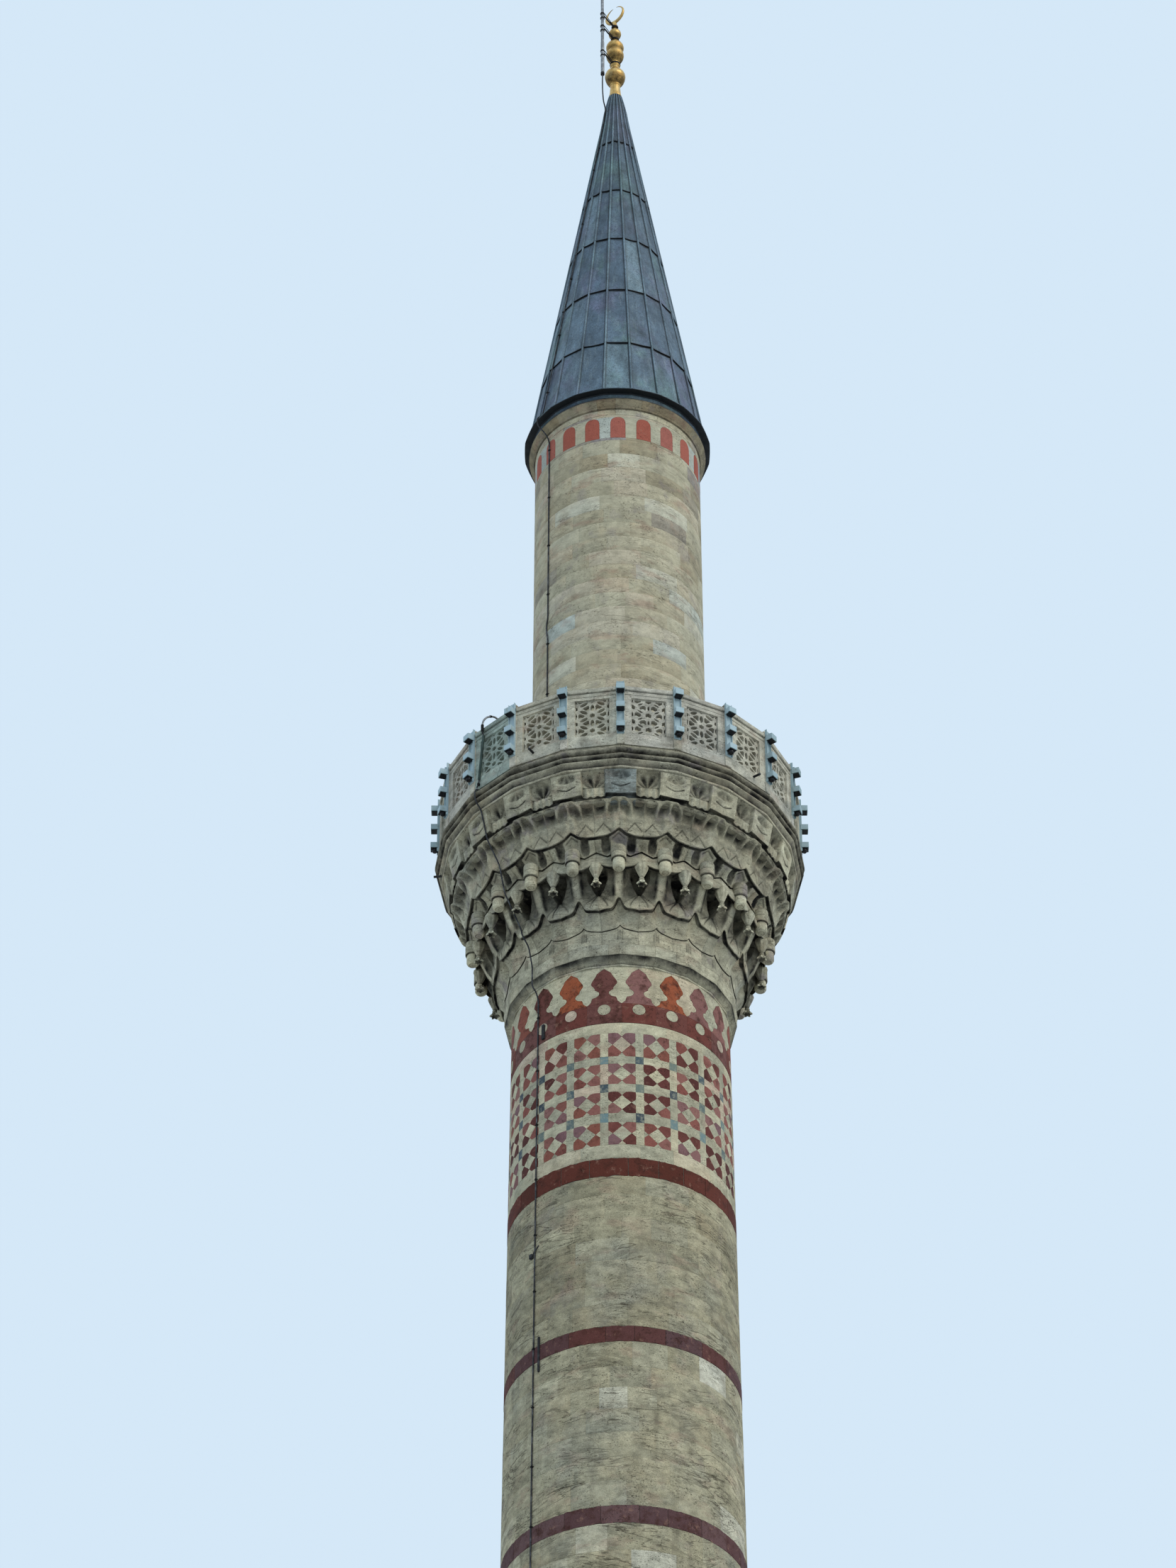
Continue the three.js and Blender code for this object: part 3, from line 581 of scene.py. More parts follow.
for (upper_low, _), (_, lower_high) in zip(ROWS, ROWS[1:]):
    b = (upper_low - lower_high) / 2
    level_strip = slab_pattern(oblong(-HALF_PANEL, HALF_PANEL, -b, b))
    square = slab_pattern(oblong(-STRIP, STRIP, -b, b))
    for k in range(PANELS):
        inlay(band, level_strip, k * BAY, upper_low - b, wall_radius, dice.random(), 0,
              dice.uniform(-0.3, 0.4))
        inlay(band, square, (k + 0.5) * BAY, upper_low - b, wall_radius, dice.random(), 2, -0.3)
lay_courses(band, BAND_LOW, ROWS[-1][0], wall_radius, 111, dice, (16, 30), 3, 0)
lay_courses(band, ROWS[0][1], BAND_HIGH, wall_radius, 87, dice, (16, 30), 3, 0)
hearting(band, BAND_LOW, BAND_HIGH, wall_radius, finish=3)
piece = band.made("checker_inlay", [cream, inlay_red, glazed, lime])
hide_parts("checker_band")

# Palmette frieze: red palmettes stand on a dark red ground course and cream ones hang between
# them, so that one saw cut shapes both. A cream disc is let into the ground under each red one.
GROUND_TOP, FRIEZE_TOP = 24286, 24600
HALF_BAY = math.radians(BAY / 2) * BAND_RADIUS
CURVE = [(0, 0), (13, 9), (27, 24), (31, 42), (37, 56), (60, 62), (76, 72), (85, 88), (82, 103), (67, 115),
         (54, 124), (55, 134), (43, 154), (32, 168), (28, 180), (31, 192), (42, 212), (55, 233), (63, 248),
         (68, 262), (80, 272), (96, 284), (HALF_BAY - 1, 299)]
DISC_RISE, DISC_RADIUS = 117, 44

palmette_red = red_stone("palmette_red", (0.0, (0.150, 0.038, 0.026)), (0.25, (0.140, 0.054, 0.046)),
                         (0.45, (0.235, 0.110, 0.098)), (0.65, (0.220, 0.066, 0.046)),
                         (1.0, (0.310, 0.082, 0.034)), pitted=0.9)
standing = [(HALF_BAY - x, y) for x, y in CURVE] + [(x - HALF_BAY, y) for x, y in reversed(CURVE[:-1])]
hanging = CURVE + [(HALF_BAY, 314), (-HALF_BAY, 314)] + [(-x, y) for x, y in reversed(CURVE[1:])]
red_palmette, cream_palmette = slab_pattern(standing, thick=8), slab_pattern(hanging, thick=8)
ring = [(DISC_RADIUS * math.cos(t), DISC_RADIUS * math.sin(t)) for t in all_round(24, math.tau)]
disc = slab_pattern(ring, thick=8)
DISC_HEIGHT = BAND_HIGH + DISC_RISE
ground_course = oblong(-HALF_BAY, HALF_BAY, 2 - DISC_RISE, GROUND_TOP - DISC_HEIGHT)
ground_bed = slab_pattern(ground_course, [ring], thick=8)

frieze = Stonework()
dice = random.Random(5)
TINTS = [0.22, 0.46, 0.95, 0.40, 0.50, 0.66, 0.30, 0.90, 0.45, 0.60, 0.25, 0.70, 0.35, 0.55, 0.85, 0.20,
         0.60, 0.70, 0.15, 0.97]
for k, tint in enumerate(TINTS):
    turn = -BAY / 2 + k * BAY
    inlay(frieze, red_palmette, turn, GROUND_TOP, wall_radius, tint, 0, 0.4)
    inlay(frieze, cream_palmette, turn + BAY / 2, GROUND_TOP, wall_radius, dice.random(), 1,
          dice.uniform(-0.3, 0.3))
    inlay(frieze, ground_bed, turn, DISC_HEIGHT, wall_radius, dice.uniform(0, 0.3), 0)
    inlay(frieze, disc, turn, DISC_HEIGHT, wall_radius, dice.choice((0.2, 0.4, 0.9, 1.0)), 1, 0.8)
hearting(frieze, BAND_HIGH, FRIEZE_TOP, wall_radius, finish=2)
piece = frieze.made("palmette_inlay", [palmette_red, cream, lime])
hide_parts("palmette_band")

# Neck: a thin bead, a deep cavetto and a plain fascia of short stones, cut as a ring of twenty
# straight sides whose corners stand under the ribs of the corbels above.


def sided(radius, turns):
    """The radius of a ring of straight sides with a corner in front of every bay."""
    return radius * math.cos(math.radians(BAY / 2)) / np.cos(np.radians((turns % BAY) - BAY / 2))


corbel_stone = limestone("corbel_limestone", [(0.0, (0.290, 0.265, 0.188)), (0.4, (0.385, 0.355, 0.255)),
                                              (0.75, (0.475, 0.440, 0.318)), (0.92, (0.580, 0.540, 0.385)),
                                              (1.0, (0.262, 0.288, 0.268))], cool=0.35, bedding=0.3,
                         crust_and_shade_share=0.95, soiled=0.45)
DRAWN_IN = [(24600, 0), (24609, 2), (24616, 6), (24623, 14), (24629, 20), (24637, 27), (24643, 33),
            (24648, 36), (24670, 41), (24717, 46), (24831, 52), (24941, 62), (25046, 52), (25110, 32),
            (25247, 10), (25300, 10), (25354, 32), (25426, 60), (25500, 54), (25600, 53), (25690, 46),
            (25713, 42), (25800, 27), (25900, 16), (25940, 10)]
EYE_HEIGHT, EYE_DISTANCE = 800, 30000


def settled(radius, height):
    """Heights read off the front of the corbels, slid along the line of sight to the radius that
    the outline has at both sides."""
    inward = np.interp(height, *zip(*DRAWN_IN)) * (radius > WELL + 1)
    return radius - inward, height + (height - EYE_HEIGHT) * inward / (EYE_DISTANCE - radius)


def moulded_ring(work, joints, rows, soft, count, sink, shade, plan=None):
    """Moulded stones end to end round the tower, with columns of radius, height and darkening for crust
    and painted shade. The plan bends their outer side, and their inner side stays round."""
    r, z, soot = rows
    outer = r > r.min()
    for a0, a1 in zip(joints, joints[1:] + [joints[0] + 360]):
        turns = np.concatenate([[a0], np.linspace(a0 + soft, a1 - soft, count), [a1]])[None, :]
        sunk = np.where((turns == a0) | (turns == a1), -sink, 0) * outer
        bent_out = np.where(outer, plan(r, turns), r) if plan else r
        work.skin(around(turns, bent_out + sunk, z), shade(), 0, soot)


neck = Stonework()
dice = random.Random(8)
# The third column paints the underside of the bead, the cavetto darker towards its top and a line under the
# step above nearly black: painted shade.
NECK = [(WELL, 24600, 0), (750, 24600, 0), (752.5, 24603, 0), (753, 24609, 0.1), (750, 24613, 0.6),
        (756, 24616, 0.3), (770, 24619, 0.25), (785, 24623, 0.5), (799, 24629, 0.78), (810, 24637, 0.95),
        (816, 24643, 1), (821, 24644, 0.5), (824, 24648, 0.12), (829, 24670, 0.08), (835, 24696, 0.08),
        (840, 24717, 0.15), (839, 24721, 0.7), (WELL, 24721, 0)]
r, z, soot = by_column(NECK)
joints = []
for k in range(PANELS):
    joints += [k * BAY + dice.uniform(-1.5, 1.5), (k + 0.5) * BAY + dice.uniform(-3, 3)]
rows = (*settled(r, z), soot)
soft = math.degrees(ARRIS / 830) * 0.8
moulded_ring(neck, joints, rows, soft, 7, 2.4, lambda: dice.uniform(0.35, 0.85), sided)
piece = neck.made("neck_moulding_stones", [corbel_stone])
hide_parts("neck_moulding")

# Corbels: five tiers of carved limestone carry the balcony out over the shaft. The lowest is a
# plain cove over a cusped step. Every tier repeats in each of the twenty bays, a rib on its line.
# In every tier the hollows, slots, niches and grooves are painted dark and the line under each lip black:
# painted shade and painted shadow.
BAY_TURNS = np.linspace(-BAY / 2, BAY / 2, 54, endpoint=False)
rib = np.abs(BAY_TURNS)
niche = BAY / 2 - rib


def step(low, high, value):
    t = np.clip((value - low) / (high - low), 0, 1)
    return t * t * (3 - 2 * t)


def corbel_tier(rows, dice, turn, joints=(-BAY / 2,), shades=(0.2, 0.75), tint=None):
    """A closed ring from rows of radius, height and darkening (painted shade, crust) across one bay,
    from the well out and back. Each joint starts a stone, and a tint gives one of them a shade of its own."""
    r, z, soot = (np.array([np.broadcast_to(row[part], BAY_TURNS.shape) for row in rows], float)
                  for part in range(3))
    r, z = settled(r, z)
    starts = [int(np.argmin(np.abs(BAY_TURNS - joint))) for joint in joints]
    inner = (r > WELL + 1).astype(float)
    for start in starts:
        r[:, start] -= 1.2 * inner[:, start]
        soot[:, start] = np.maximum(soot[:, start], 0.38 * inner[:, start])
    shade = np.zeros((PANELS, len(BAY_TURNS)))
    for k in range(PANELS):
        for start in starts:
            shade[k, start:] = (tint or {}).get((k, starts.index(start)), dice.uniform(*shades))
    turns = (turn + BAY_TURNS[None, :] + BAY * np.arange(PANELS)[:, None]).ravel()
    work = Stonework()
    grid = around(turns[None, :], np.tile(r, PANELS), np.tile(z, PANELS))
    work.skin(grid, shade.ravel(), 0, np.tile(soot, PANELS), ring=True, loop=True)
    return work


def flank(count, foot, head, profile):
    """Rows from a foot line to a head line. The profile gives radius and darkening (painted shade,
    crust) for a share of the way up and a height."""
    rows = []
    for t in np.linspace(0, 1, count):
        height = foot + (head - foot) * t
        radius, soot = profile(t, height)
        rows.append((radius, height, soot))
    return rows


dice = random.Random(17)
lip_four = 24941 + 16 * (1 - (2 * rib / BAY) ** 2) + 90 * np.exp(-((rib / 2.0) ** 2.2))
low_step = 24831 + 18 * (1 - 2 * rib / BAY) + 26 * np.exp(-rib / 1.2)
straight = sided(1.0, BAY_TURNS)
leaf = np.exp(-((np.abs(rib - 1.1) / 0.45) ** 2)) + np.exp(-((rib / 0.4) ** 2))


def foot_band(t, z):
    # The carved leaf grooves are painted dark: painted shade.
    carved = leaf * (0.25 < t < 0.75)
    return 833 * straight + 4 * t - 3.0 * carved, 0.05 + 0.6 * carved


# The third column paints the step under the neck and the underside of the cusped step black: painted shadow.
rows = [(WELL, 24721, 0), (835 * straight, 24722, 0.8), (832 * straight, 24726, 0.15)]
rows += flank(8, 24732, low_step - 3, foot_band)
rows += [(835 * straight, low_step - 1, 1.0), (836 * straight, low_step + 8, 1.0),
         (841 * straight, low_step + 8, 1.0), (843 * straight, low_step, 0.8),
         (845 * straight, low_step + 3, 0.1)]


def cove_face(t, z):
    swell = straight + (1 - straight) * min(1, 3 * t)
    # The cove is painted darker towards its top and black under the lip: painted shade.
    return (846 + 61 * t ** 1.8) * swell, 0.02 + 0.08 * t + 0.35 * max(0, t - 0.88) * 8


rows += flank(11, low_step + 6, lip_four - 16, cove_face)
rows += [(912, lip_four - 12, 1.0), (WELL, 25000, 0)]
piece = corbel_tier(rows, dice, -0.5).made("corbel_cove_stones", [corbel_stone])
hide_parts("corbel_cove")

# Second tier: a sharp lip swings up to a narrow arch at each rib. Over it each rib stands
# between two hollow flanks, which run into a deep pointed slot over a faceted palm.


def second_tier(t, z):
    ribs = 928 + 54 * t ** 1.15
    flank_share = step(1.4, 4.2, rib)
    width = 4.2 * np.clip((z - 25068) / 150, 0, 1) ** 0.8
    slot = (1 - step(width - 1.1, width + 0.3, niche)) * (width > 0.2)
    spread = 3.6 * (1 - step(24965, 25095, z))
    ray = np.exp(-((niche - spread - 0.4) / 0.35) ** 2) * 6
    ray = ray + np.exp(-((niche - 1.9 * spread - 0.8) / 0.35) ** 2) * 4
    ray = ray * (z < 25102) * step(24960, 24980, z)
    radius = ribs - 46 * flank_share * step(24980, 25150, z) - 130 * slot - ray
    # The flanks, the rays at the foot, a line beside each rib and the slot are painted dark to black: painted
    # shade.
    flank_painted_shade = 0.72 * step(0.9, 2.4, rib) * step(24965, 25070, z)
    edge = 0.3 * (1 - step(0.3, 1.4, np.abs(rib - 1.9))) * step(25030, 25060, z)
    soot = 0.02 + flank_painted_shade + ray * 0.12 + edge
    return radius, np.clip(np.maximum(soot, slot), 0, 1)


# The third column paints the lip's underside and the groove over it black: painted shadow.
rows = [(WELL, 25001, 0), (912, lip_four - 10, 1), (914, lip_four + 12, 1), (924, lip_four + 12, 1),
        (925, lip_four - 7, 1), (929, lip_four - 7, 0.95), (932, lip_four - 3, 0.5), (932, lip_four, 0.05),
        (929, lip_four + 3, 0.02)]
rows += flank(32, lip_four + 4, 25290, second_tier)
rows += [(975, 25298, 1), (WELL, 25298, 0)]
piece = corbel_tier(rows, dice, -0.95).made("corbel_niche_stones", [corbel_stone])
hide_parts("corbel_niches")

# Third tier: it hangs out over the second on turned bosses and drops. A wavy lip, a zigzag line,
# a pair of almond niches in each bay and a pointed leaf under each peak of the tier above.
lip_three = 25247 + 36 * np.exp(-((niche / 3.4) ** 2))
zigzag = 25354 + 21 * (np.abs(rib - 4.5) / 4.5 * 2 - 1)
lip_two = 25426 + 72 * np.exp(-((rib / 2.9) ** 1.4))


def third_tier(t, z):
    radius = 1014 + 80 * t ** 1.25
    across, up = (rib - 4.9) / 1.9, (z - 25396) / 54
    almond = np.clip(1 - across ** 2 - np.abs(up) ** 1.7, 0, 1) ** 0.6
    tongue = np.exp(-((rib / 0.9) ** 2)) * step(25425, 25470, z) * 5
    arch = np.exp(-(((z - (lip_two - 26)) / 5) ** 2)) * (rib < 2.6) * 3
    # The almond niches and the arch over each leaf are painted dark: painted shade.
    soot = 0.06 + 0.9 * step(0.02, 0.45, almond) * step(25345, 25385, z) + arch * 0.25
    return radius - 34 * almond + tongue - arch, np.clip(soot, 0, 1)


# The third column paints the undersides of the lip and the zigzag and their grooves black, and the band
# between them darker towards the zigzag: painted shadow and painted shade.
rows = [(WELL, 25302, 0), (925, 25302, 1), (978, 25292, 1), (985, lip_three - 4, 1),
        (987, lip_three + 16, 1), (998, lip_three + 16, 1), (999, lip_three - 5, 1),
        (1004, lip_three - 4, 0.9), (1007, lip_three, 0.5), (1007, lip_three + 4, 0.05)]
rows += flank(9, lip_three + 7, zigzag - 4, lambda t, z: (1006 - 1 * t, 0.04 + 0.12 * t))
rows += [(1001, zigzag - 3, 1.0), (1002, zigzag + 10, 1.0), (1012, zigzag + 10, 1.0), (1013, zigzag - 1, 1.0),
         (1017, zigzag, 0.8), (1018, zigzag + 4, 0.05)]
rows += flank(24, zigzag + 5, lip_two - 14, third_tier)
rows += [(1098, lip_two - 11, 1), (WELL, 25420, 0)]
work = corbel_tier(rows, dice, -0.85)


def turn_piece(work, azimuth, axis, profile, shade, lobes=0, sides=24):
    """A turned piece that hangs from the soffit, from its foot to its head, closed at both ends.
    Lobes scallop the parts that the profile marks, and the flutes between them are painted darker:
    painted shade."""
    turns = all_round(sides, math.tau)
    r, z, soot, scallop = by_column(profile)
    fluting = np.cos(lobes * turns)[None, :]
    r = r * (1 + scallop * 0.16 * fluting)
    soot = np.clip(soot + 0.5 * np.minimum(scallop, 1) * (fluting < -0.3), 0, 1)
    grid = facing(azimuth, r * np.cos(turns), axis - r * np.sin(turns), z)
    work.skin(grid, shade, 0, soot, ring=True)
    work.cap(len(grid) * sides, sides, 0, -1)
    work.cap(sides, sides, 0)


# The third column paints the creases, the gap under the soffit and the hollow under each petal foot dark:
# painted shade.
CAP = [(4, 25223, 0.3, 0), (14, 25222, 0.1, 0), (20, 25224, 0.5, 0), (27, 25222, 0.0, 0),
       (36, 25227, 0.0, 0), (41.5, 25238, 0.0, 0), (42, 25290, 0.0, 0), (40, 25299, 0.2, 0),
       (34, 25307, 1.0, 0)]
STACK = [(38, 25301, 1.0, 0), (46, 25299, 1.0, 0), (50, 25303, 0.9, 0), (51, 25309, 0.1, 0),
         (51, 25347, 0.05, 0), (49, 25351, 0.7, 0), (51, 25355, 0.1, 0), (51, 25400, 0.2, 0),
         (48, 25408, 0.7, 0), (30, 25412, 0.8, 0)]
PETALS = [(3, 25134, 1.0, 0), (12, 25132, 1.0, 1), (23, 25124, 0.9, 1.6), (29, 25126, 0.0, 1.8),
          (28, 25137, 0.0, 1.3), (18, 25152, 0.1, 0.6), (12, 25163, 0.9, 0)]
DROP = [(11, 25159, 0.8, 0), (16, 25163, 0.0, 0), (18, 25169, 0.1, 0), (13, 25177, 0.7, 0),
        (17, 25192, 0.1, 0.2), (26, 25214, 0.05, 0.5), (36, 25242, 0.05, 0.6), (45, 25268, 0.05, 0.5),
        (43, 25290, 0.2, 0.3), (26, 25308, 0.6, 0), (14, 25314, 0.8, 0)]
for k in range(PANELS):
    turn_piece(work, k * BAY - 0.85, 1010, CAP, 0.6 if k == PANELS - 1 else dice.uniform(0.86, 0.93))
    turn_piece(work, k * BAY - 0.85, 1010, STACK, dice.uniform(0.4, 0.75))
    turn_piece(work, (k + 0.5) * BAY - 0.85, 976, PETALS, 0.93, lobes=6)
    turn_piece(work, (k + 0.5) * BAY - 0.85, 976, DROP, dice.uniform(0.6, 0.85), lobes=6)
piece = work.made("corbel_pendant_stones", [corbel_stone])
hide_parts("corbel_pendants")

# Fourth tier: broad shell niches over a pointed wavy lip. Ribs rise between them and each niche
# ends above in four small hoods, two round ones in the middle and a pointed one beside each rib.
HOODS = [(2.2, 2.15, 25685, 17, 0.0), (6.5, 1.9, 25680, 36, 0.9)]


def fourth_tier(t, z):
    shell = np.interp(z, [25429, 25470, 25540, 25600, 25640, 25688], [1118, 1112, 1116, 1140, 1168, 1192])
    ribs = 1118 + 90 * t ** 1.3
    width = 0.9 + 0.8 * t
    edge = 1 - step(width, width + 1.6, rib)
    radius = shell * (1 - edge) + ribs * edge
    hollow = np.zeros_like(niche)
    for centre, half, top, drop, lean in HOODS:
        offset = np.abs(niche - centre - lean * (z - 25600) / 70) / half
        crown = top - drop * offset ** 2
        scoop = np.sqrt(np.clip(1 - offset ** 2, 0, 1)) * step(crown + 2, crown - 7, z)
        hollow = np.maximum(hollow, scoop * step(25560, 25650, z + 10 * offset))
    radius = radius - 36 * hollow + 6 * step(25610, 25655, z) * (1 - np.minimum(1, hollow * 3))
    off_middle = np.abs(niche - 3.3)
    chevron = np.exp(-(((z - (25540 - 72 * off_middle / 2.9)) / 6) ** 2)) * (off_middle < 2.9)
    # The shells are painted darker than the ribs, the hoods darker towards their crowns and the chevron dark:
    # painted shade.
    soot = 0.16 * (1 - edge) * step(25440, 25480, z) + 0.85 * hollow ** 0.6 * step(25575, 25655, z)
    soot = soot + 0.75 * chevron
    return radius - 6 * chevron, np.clip(soot, 0, 1)


# The third column paints the lip's underside and its groove black: painted shadow.
rows = [(WELL, 25424, 0), (1092, lip_two - 10, 1), (1100, lip_two - 8, 1), (1101, lip_two + 14, 1),
        (1113, lip_two + 14, 1), (1114, lip_two - 7, 1), (1118, lip_two - 6, 0.9), (1122, lip_two - 2, 0.5),
        (1122, lip_two + 2, 0.05), (1117, lip_two + 5, 0.05)]
rows += flank(40, lip_two + 8, 25688, fourth_tier)
rows += [(1180, 25691, 0.9), (WELL, 25660, 0)]
piece = corbel_tier(rows, dice, -0.65).made("corbel_shell_stones", [corbel_stone])
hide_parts("corbel_shells")

# Frieze: the top tier. A broad shield with a shallow half dome stands over each rib, and a
# palm fan is sunk between, over a jagged lip. The shield at the front is stained blue-grey.
shield_share = (rib < 5.2) * 1.0
toothed = np.where(rib < 5.3, 25713 + 9 * rib / 5.3, 25709 - 14 * np.abs((niche % 2.4) - 1.2) / 1.2)


def frieze_tier(t, z):
    shield = 1 - step(5.15, 5.35, rib)
    dome = np.sqrt(np.clip(1 - ((z - 25874) / 34) ** 2 - (rib / 3.2) ** 2, 0, 1))
    rays = 0.5 + 0.5 * np.cos(np.arctan2(rib * 20, 25925 - z) * 9)
    vee = np.exp(-(((z - (25780 + 27 * (rib / 3.3) ** 1.4)) / 4.8) ** 2)) * (rib < 3.3)
    fold = np.exp(-((rib / 0.25) ** 2)) * (z < 25770) * 2
    out = 1216 + 13 * t - 20 * dome - 3 * rays * dome - 4.6 * vee - 0.6 * fold
    across = ((niche + 1.2) % 2.4) - 1.2
    edge = 25783 + 13 * np.abs(across) / 1.2
    seam = np.exp(-(((z - edge) / 6) ** 2))
    palm = np.sqrt(np.clip(1 - (niche / 3.5) ** 2 - ((z - 25852) / 66) ** 2, 0, 1))
    leaves = 0.5 + 0.5 * np.cos(np.arctan2(niche * 20, np.maximum(z - 25790, 4)) * 10)
    panel = 1203 + 4 * t + 7 * np.cos(niche * math.tau / 2.4) - 5 * seam
    fan = np.where(z > edge, 1197 - 34 * palm + 15 * leaves * palm - 5 * seam, panel)
    fan = fan + 26 * step(25905, 25925, z)
    radius = out * shield + fan * (1 - shield)
    # The half dome and its rays, the vee, the sunk palm and the seam are painted dark: painted shade.
    soot = shield * (0.03 + dome * (0.45 + 0.4 * rays) + np.minimum(1, 1.8 * vee) + 0.1 * fold)
    fan_painted_shade = 0.08 + 0.2 * (z > edge) + palm * (0.95 - 0.8 * leaves) + 1.3 * seam
    return radius, np.clip(soot + (1 - shield) * fan_painted_shade, 0, 1)


# The third column paints the groove and the underside of the jagged lip black: painted shadow.
rows = [(WELL, 25664, 0), (1184, 25664, 0.6), (1191, 25680, 0.6), (1193, toothed - 18, 1.0),
        (1186, toothed + 10, 1.0), (1200 + 15 * shield_share, toothed + 10, 1.0),
        (1201 + 15 * shield_share, toothed - 1, 1.0), (1205 + 14 * shield_share, toothed + 1, 0.9),
        (1205 + 14 * shield_share, toothed + 6, 0.1)]
rows += flank(38, toothed + 9, 25922, frieze_tier)
rows += [(1227, 25925, 0.6), (1231, 25928, 0.1), (1232, 25934, 0.1), (WELL, 25935, 0)]
piece = corbel_tier(rows, dice, 0, (-BAY / 2, -5.3, 5.3), (0.35, 0.85),
                    {(0, 1): 1.0}).made("corbel_frieze_stones", [corbel_stone])
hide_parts("corbel_frieze")

# Cornice: two stacked rolls over a small cavetto, cut with straight sides like the balcony that
# stands on it. The undersides of the rolls and the lines between them are painted dark: painted
# shade, with black crust where water hangs. A floor of stone slabs lies inside.
CORNICE = [(WELL, 25936, 0), (1229, 25936, 0.3), (1234, 25938, 0.1), (1236, 25944, 0.05),
           (1236, 25951, 0.2), (1231, 25954, 1), (1233, 25962, 0.9), (1238, 25972, 0.7), (1245, 25981, 0.5),
           (1252, 25989, 0.25), (1256, 25992, 0.05), (1257, 25999, 0.05), (1252, 26002, 1)]
# Each roll is painted darkest on its underside and lightest on top: painted shade.
CORNICE += [(1258 + 18 * math.sin(a), 26021 - 18 * math.cos(a), 0.62 + 0.38 * math.cos(a))
            for a in np.linspace(0.15, 2.9, 9)]
CORNICE += [(1258, 26043, 1)]
CORNICE += [(1262 + 22 * math.sin(a), 26068 - 22 * math.cos(a), 0.62 + 0.38 * math.cos(a))
            for a in np.linspace(0.15, 2.8, 11)]
CORNICE += [(1262, 26093, 0.7), (WELL, 26093, 0)]
work = Stonework()
dice = random.Random(3)
joints = [k * 12 + dice.uniform(-2.5, 2.5) for k in range(30)]
soft = math.degrees(ARRIS / 1250) * 0.6
moulded_ring(work, joints, by_column(CORNICE), soft, 9, 1.6, lambda: dice.uniform(0.25, 0.7), sided)
cornice_stone = limestone("cornice_limestone", [(0.0, (0.32, 0.292, 0.205)), (1.0, (0.52, 0.475, 0.35))],
                          bedding=0.2, crust_and_shade_share=0.95, soiled=0.6)
piece = work.made("cornice_stones", [cornice_stone])
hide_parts("balcony_cornice")

# Balcony floor: slabs of limestone laid as wedges round the stair turret.
FLOOR_LOW, FLOOR_TOP = 26093, 26130
floor_work = Stonework()
dice = random.Random(31)
for k in range(PANELS):
    for inner, outer in ((WELL, 870), (870, 1243)):
        turns = np.array([k * BAY + 0.05, k * BAY + BAY / 2, k * BAY + BAY - 0.05])
        r = np.array([inner, outer, outer, outer - 2.5, inner + 2.5, inner, inner])[:, None]
        z = np.array([FLOOR_LOW, FLOOR_LOW, FLOOR_TOP - 3, FLOOR_TOP, FLOOR_TOP, FLOOR_TOP - 3,
                      FLOOR_LOW])[:, None]
        grid = around(turns[None, :], np.where(r > 1000, sided(r, turns[None, :]), r), z)
        floor_work.skin(grid, dice.uniform(0.3, 0.8), 0, 0.25 if inner > WELL else 0.4)
piece = floor_work.made("balcony_slabs", [cornice_stone])
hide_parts("balcony_floor")

# Parapet: twenty bays of pierced stone. The piercing is a net of circles whose meeting points leave
# large hexagons, long leaves and small triangles. The front right bay was renewed with wider strips,
# and one bay at the left is tinted green.
PARAPET_RADIUS = 1251
SIDE_OUT = PARAPET_RADIUS * math.cos(math.radians(BAY / 2))
CORNER_OUT = PARAPET_RADIUS - SIDE_OUT
FIELD_HALF, FIELD_LOW, FIELD_TOP, RECESS, NET_THICK = 120, 26230, 26555, 13, 36
POST_HALF, COPING_LOW, COPING_TOP, POST_TOP, BAY_HALF = 28, 26612, 26650, 26683, 196


FAR = 1e9


def reach(turn_from, toward, radius, leaving):
    """How far a ray goes before it leaves or meets a circle."""
    along = toward[0] * math.cos(turn_from) + toward[1] * math.sin(turn_from)
    under = radius ** 2 - (toward[0] ** 2 + toward[1] ** 2 - along ** 2)
    if under < 0:
        return 0 if leaving else FAR
    distance = along + math.sqrt(under) if leaving else along - math.sqrt(under)
    return distance if distance > 0 else FAR


def opening(centre, inside, outside, cap, count=18):
    """A hole that stays inside some circles, outside others and within a cap."""
    loop = []
    for turn_from in all_round(count, math.tau):
        limits = [cap]
        limits += [reach(turn_from, (x - centre[0], y - centre[1]), r, True) for x, y, r in inside]
        limits += [reach(turn_from, (x - centre[0], y - centre[1]), r, False) for x, y, r in outside]
        distance = max(1.0, min(limits))
        loop.append((centre[0] + distance * math.cos(turn_from), centre[1] + distance * math.sin(turn_from)))
    return loop


def clipped(loop, low, high):
    """The part of a hole that lies in the field, or nothing if only a sliver is left."""
    for axis in (0, 1):
        for side, sign in ((low[axis], 1), (high[axis], -1)):
            kept = []
            for a, b in zip(loop, loop[1:] + loop[:1]):
                da, db = (a[axis] - side) * sign, (b[axis] - side) * sign
                if da >= 0:
                    kept.append(a)
                if da * db < 0:
                    t = da / (da - db)
                    kept.append((a[0] + (b[0] - a[0]) * t, a[1] + (b[1] - a[1]) * t))
            loop = kept
            if len(loop) < 3:
                return None
    loop = [p for p, q in zip(loop, loop[1:] + loop[:1]) if math.dist(p, q) > 0.8]
    if len(loop) < 3:
        return None
    area = abs(sum(p[0] * q[1] - q[0] * p[1] for p, q in zip(loop, loop[1:] + loop[:1]))) / 2
    return loop if area > 90 else None


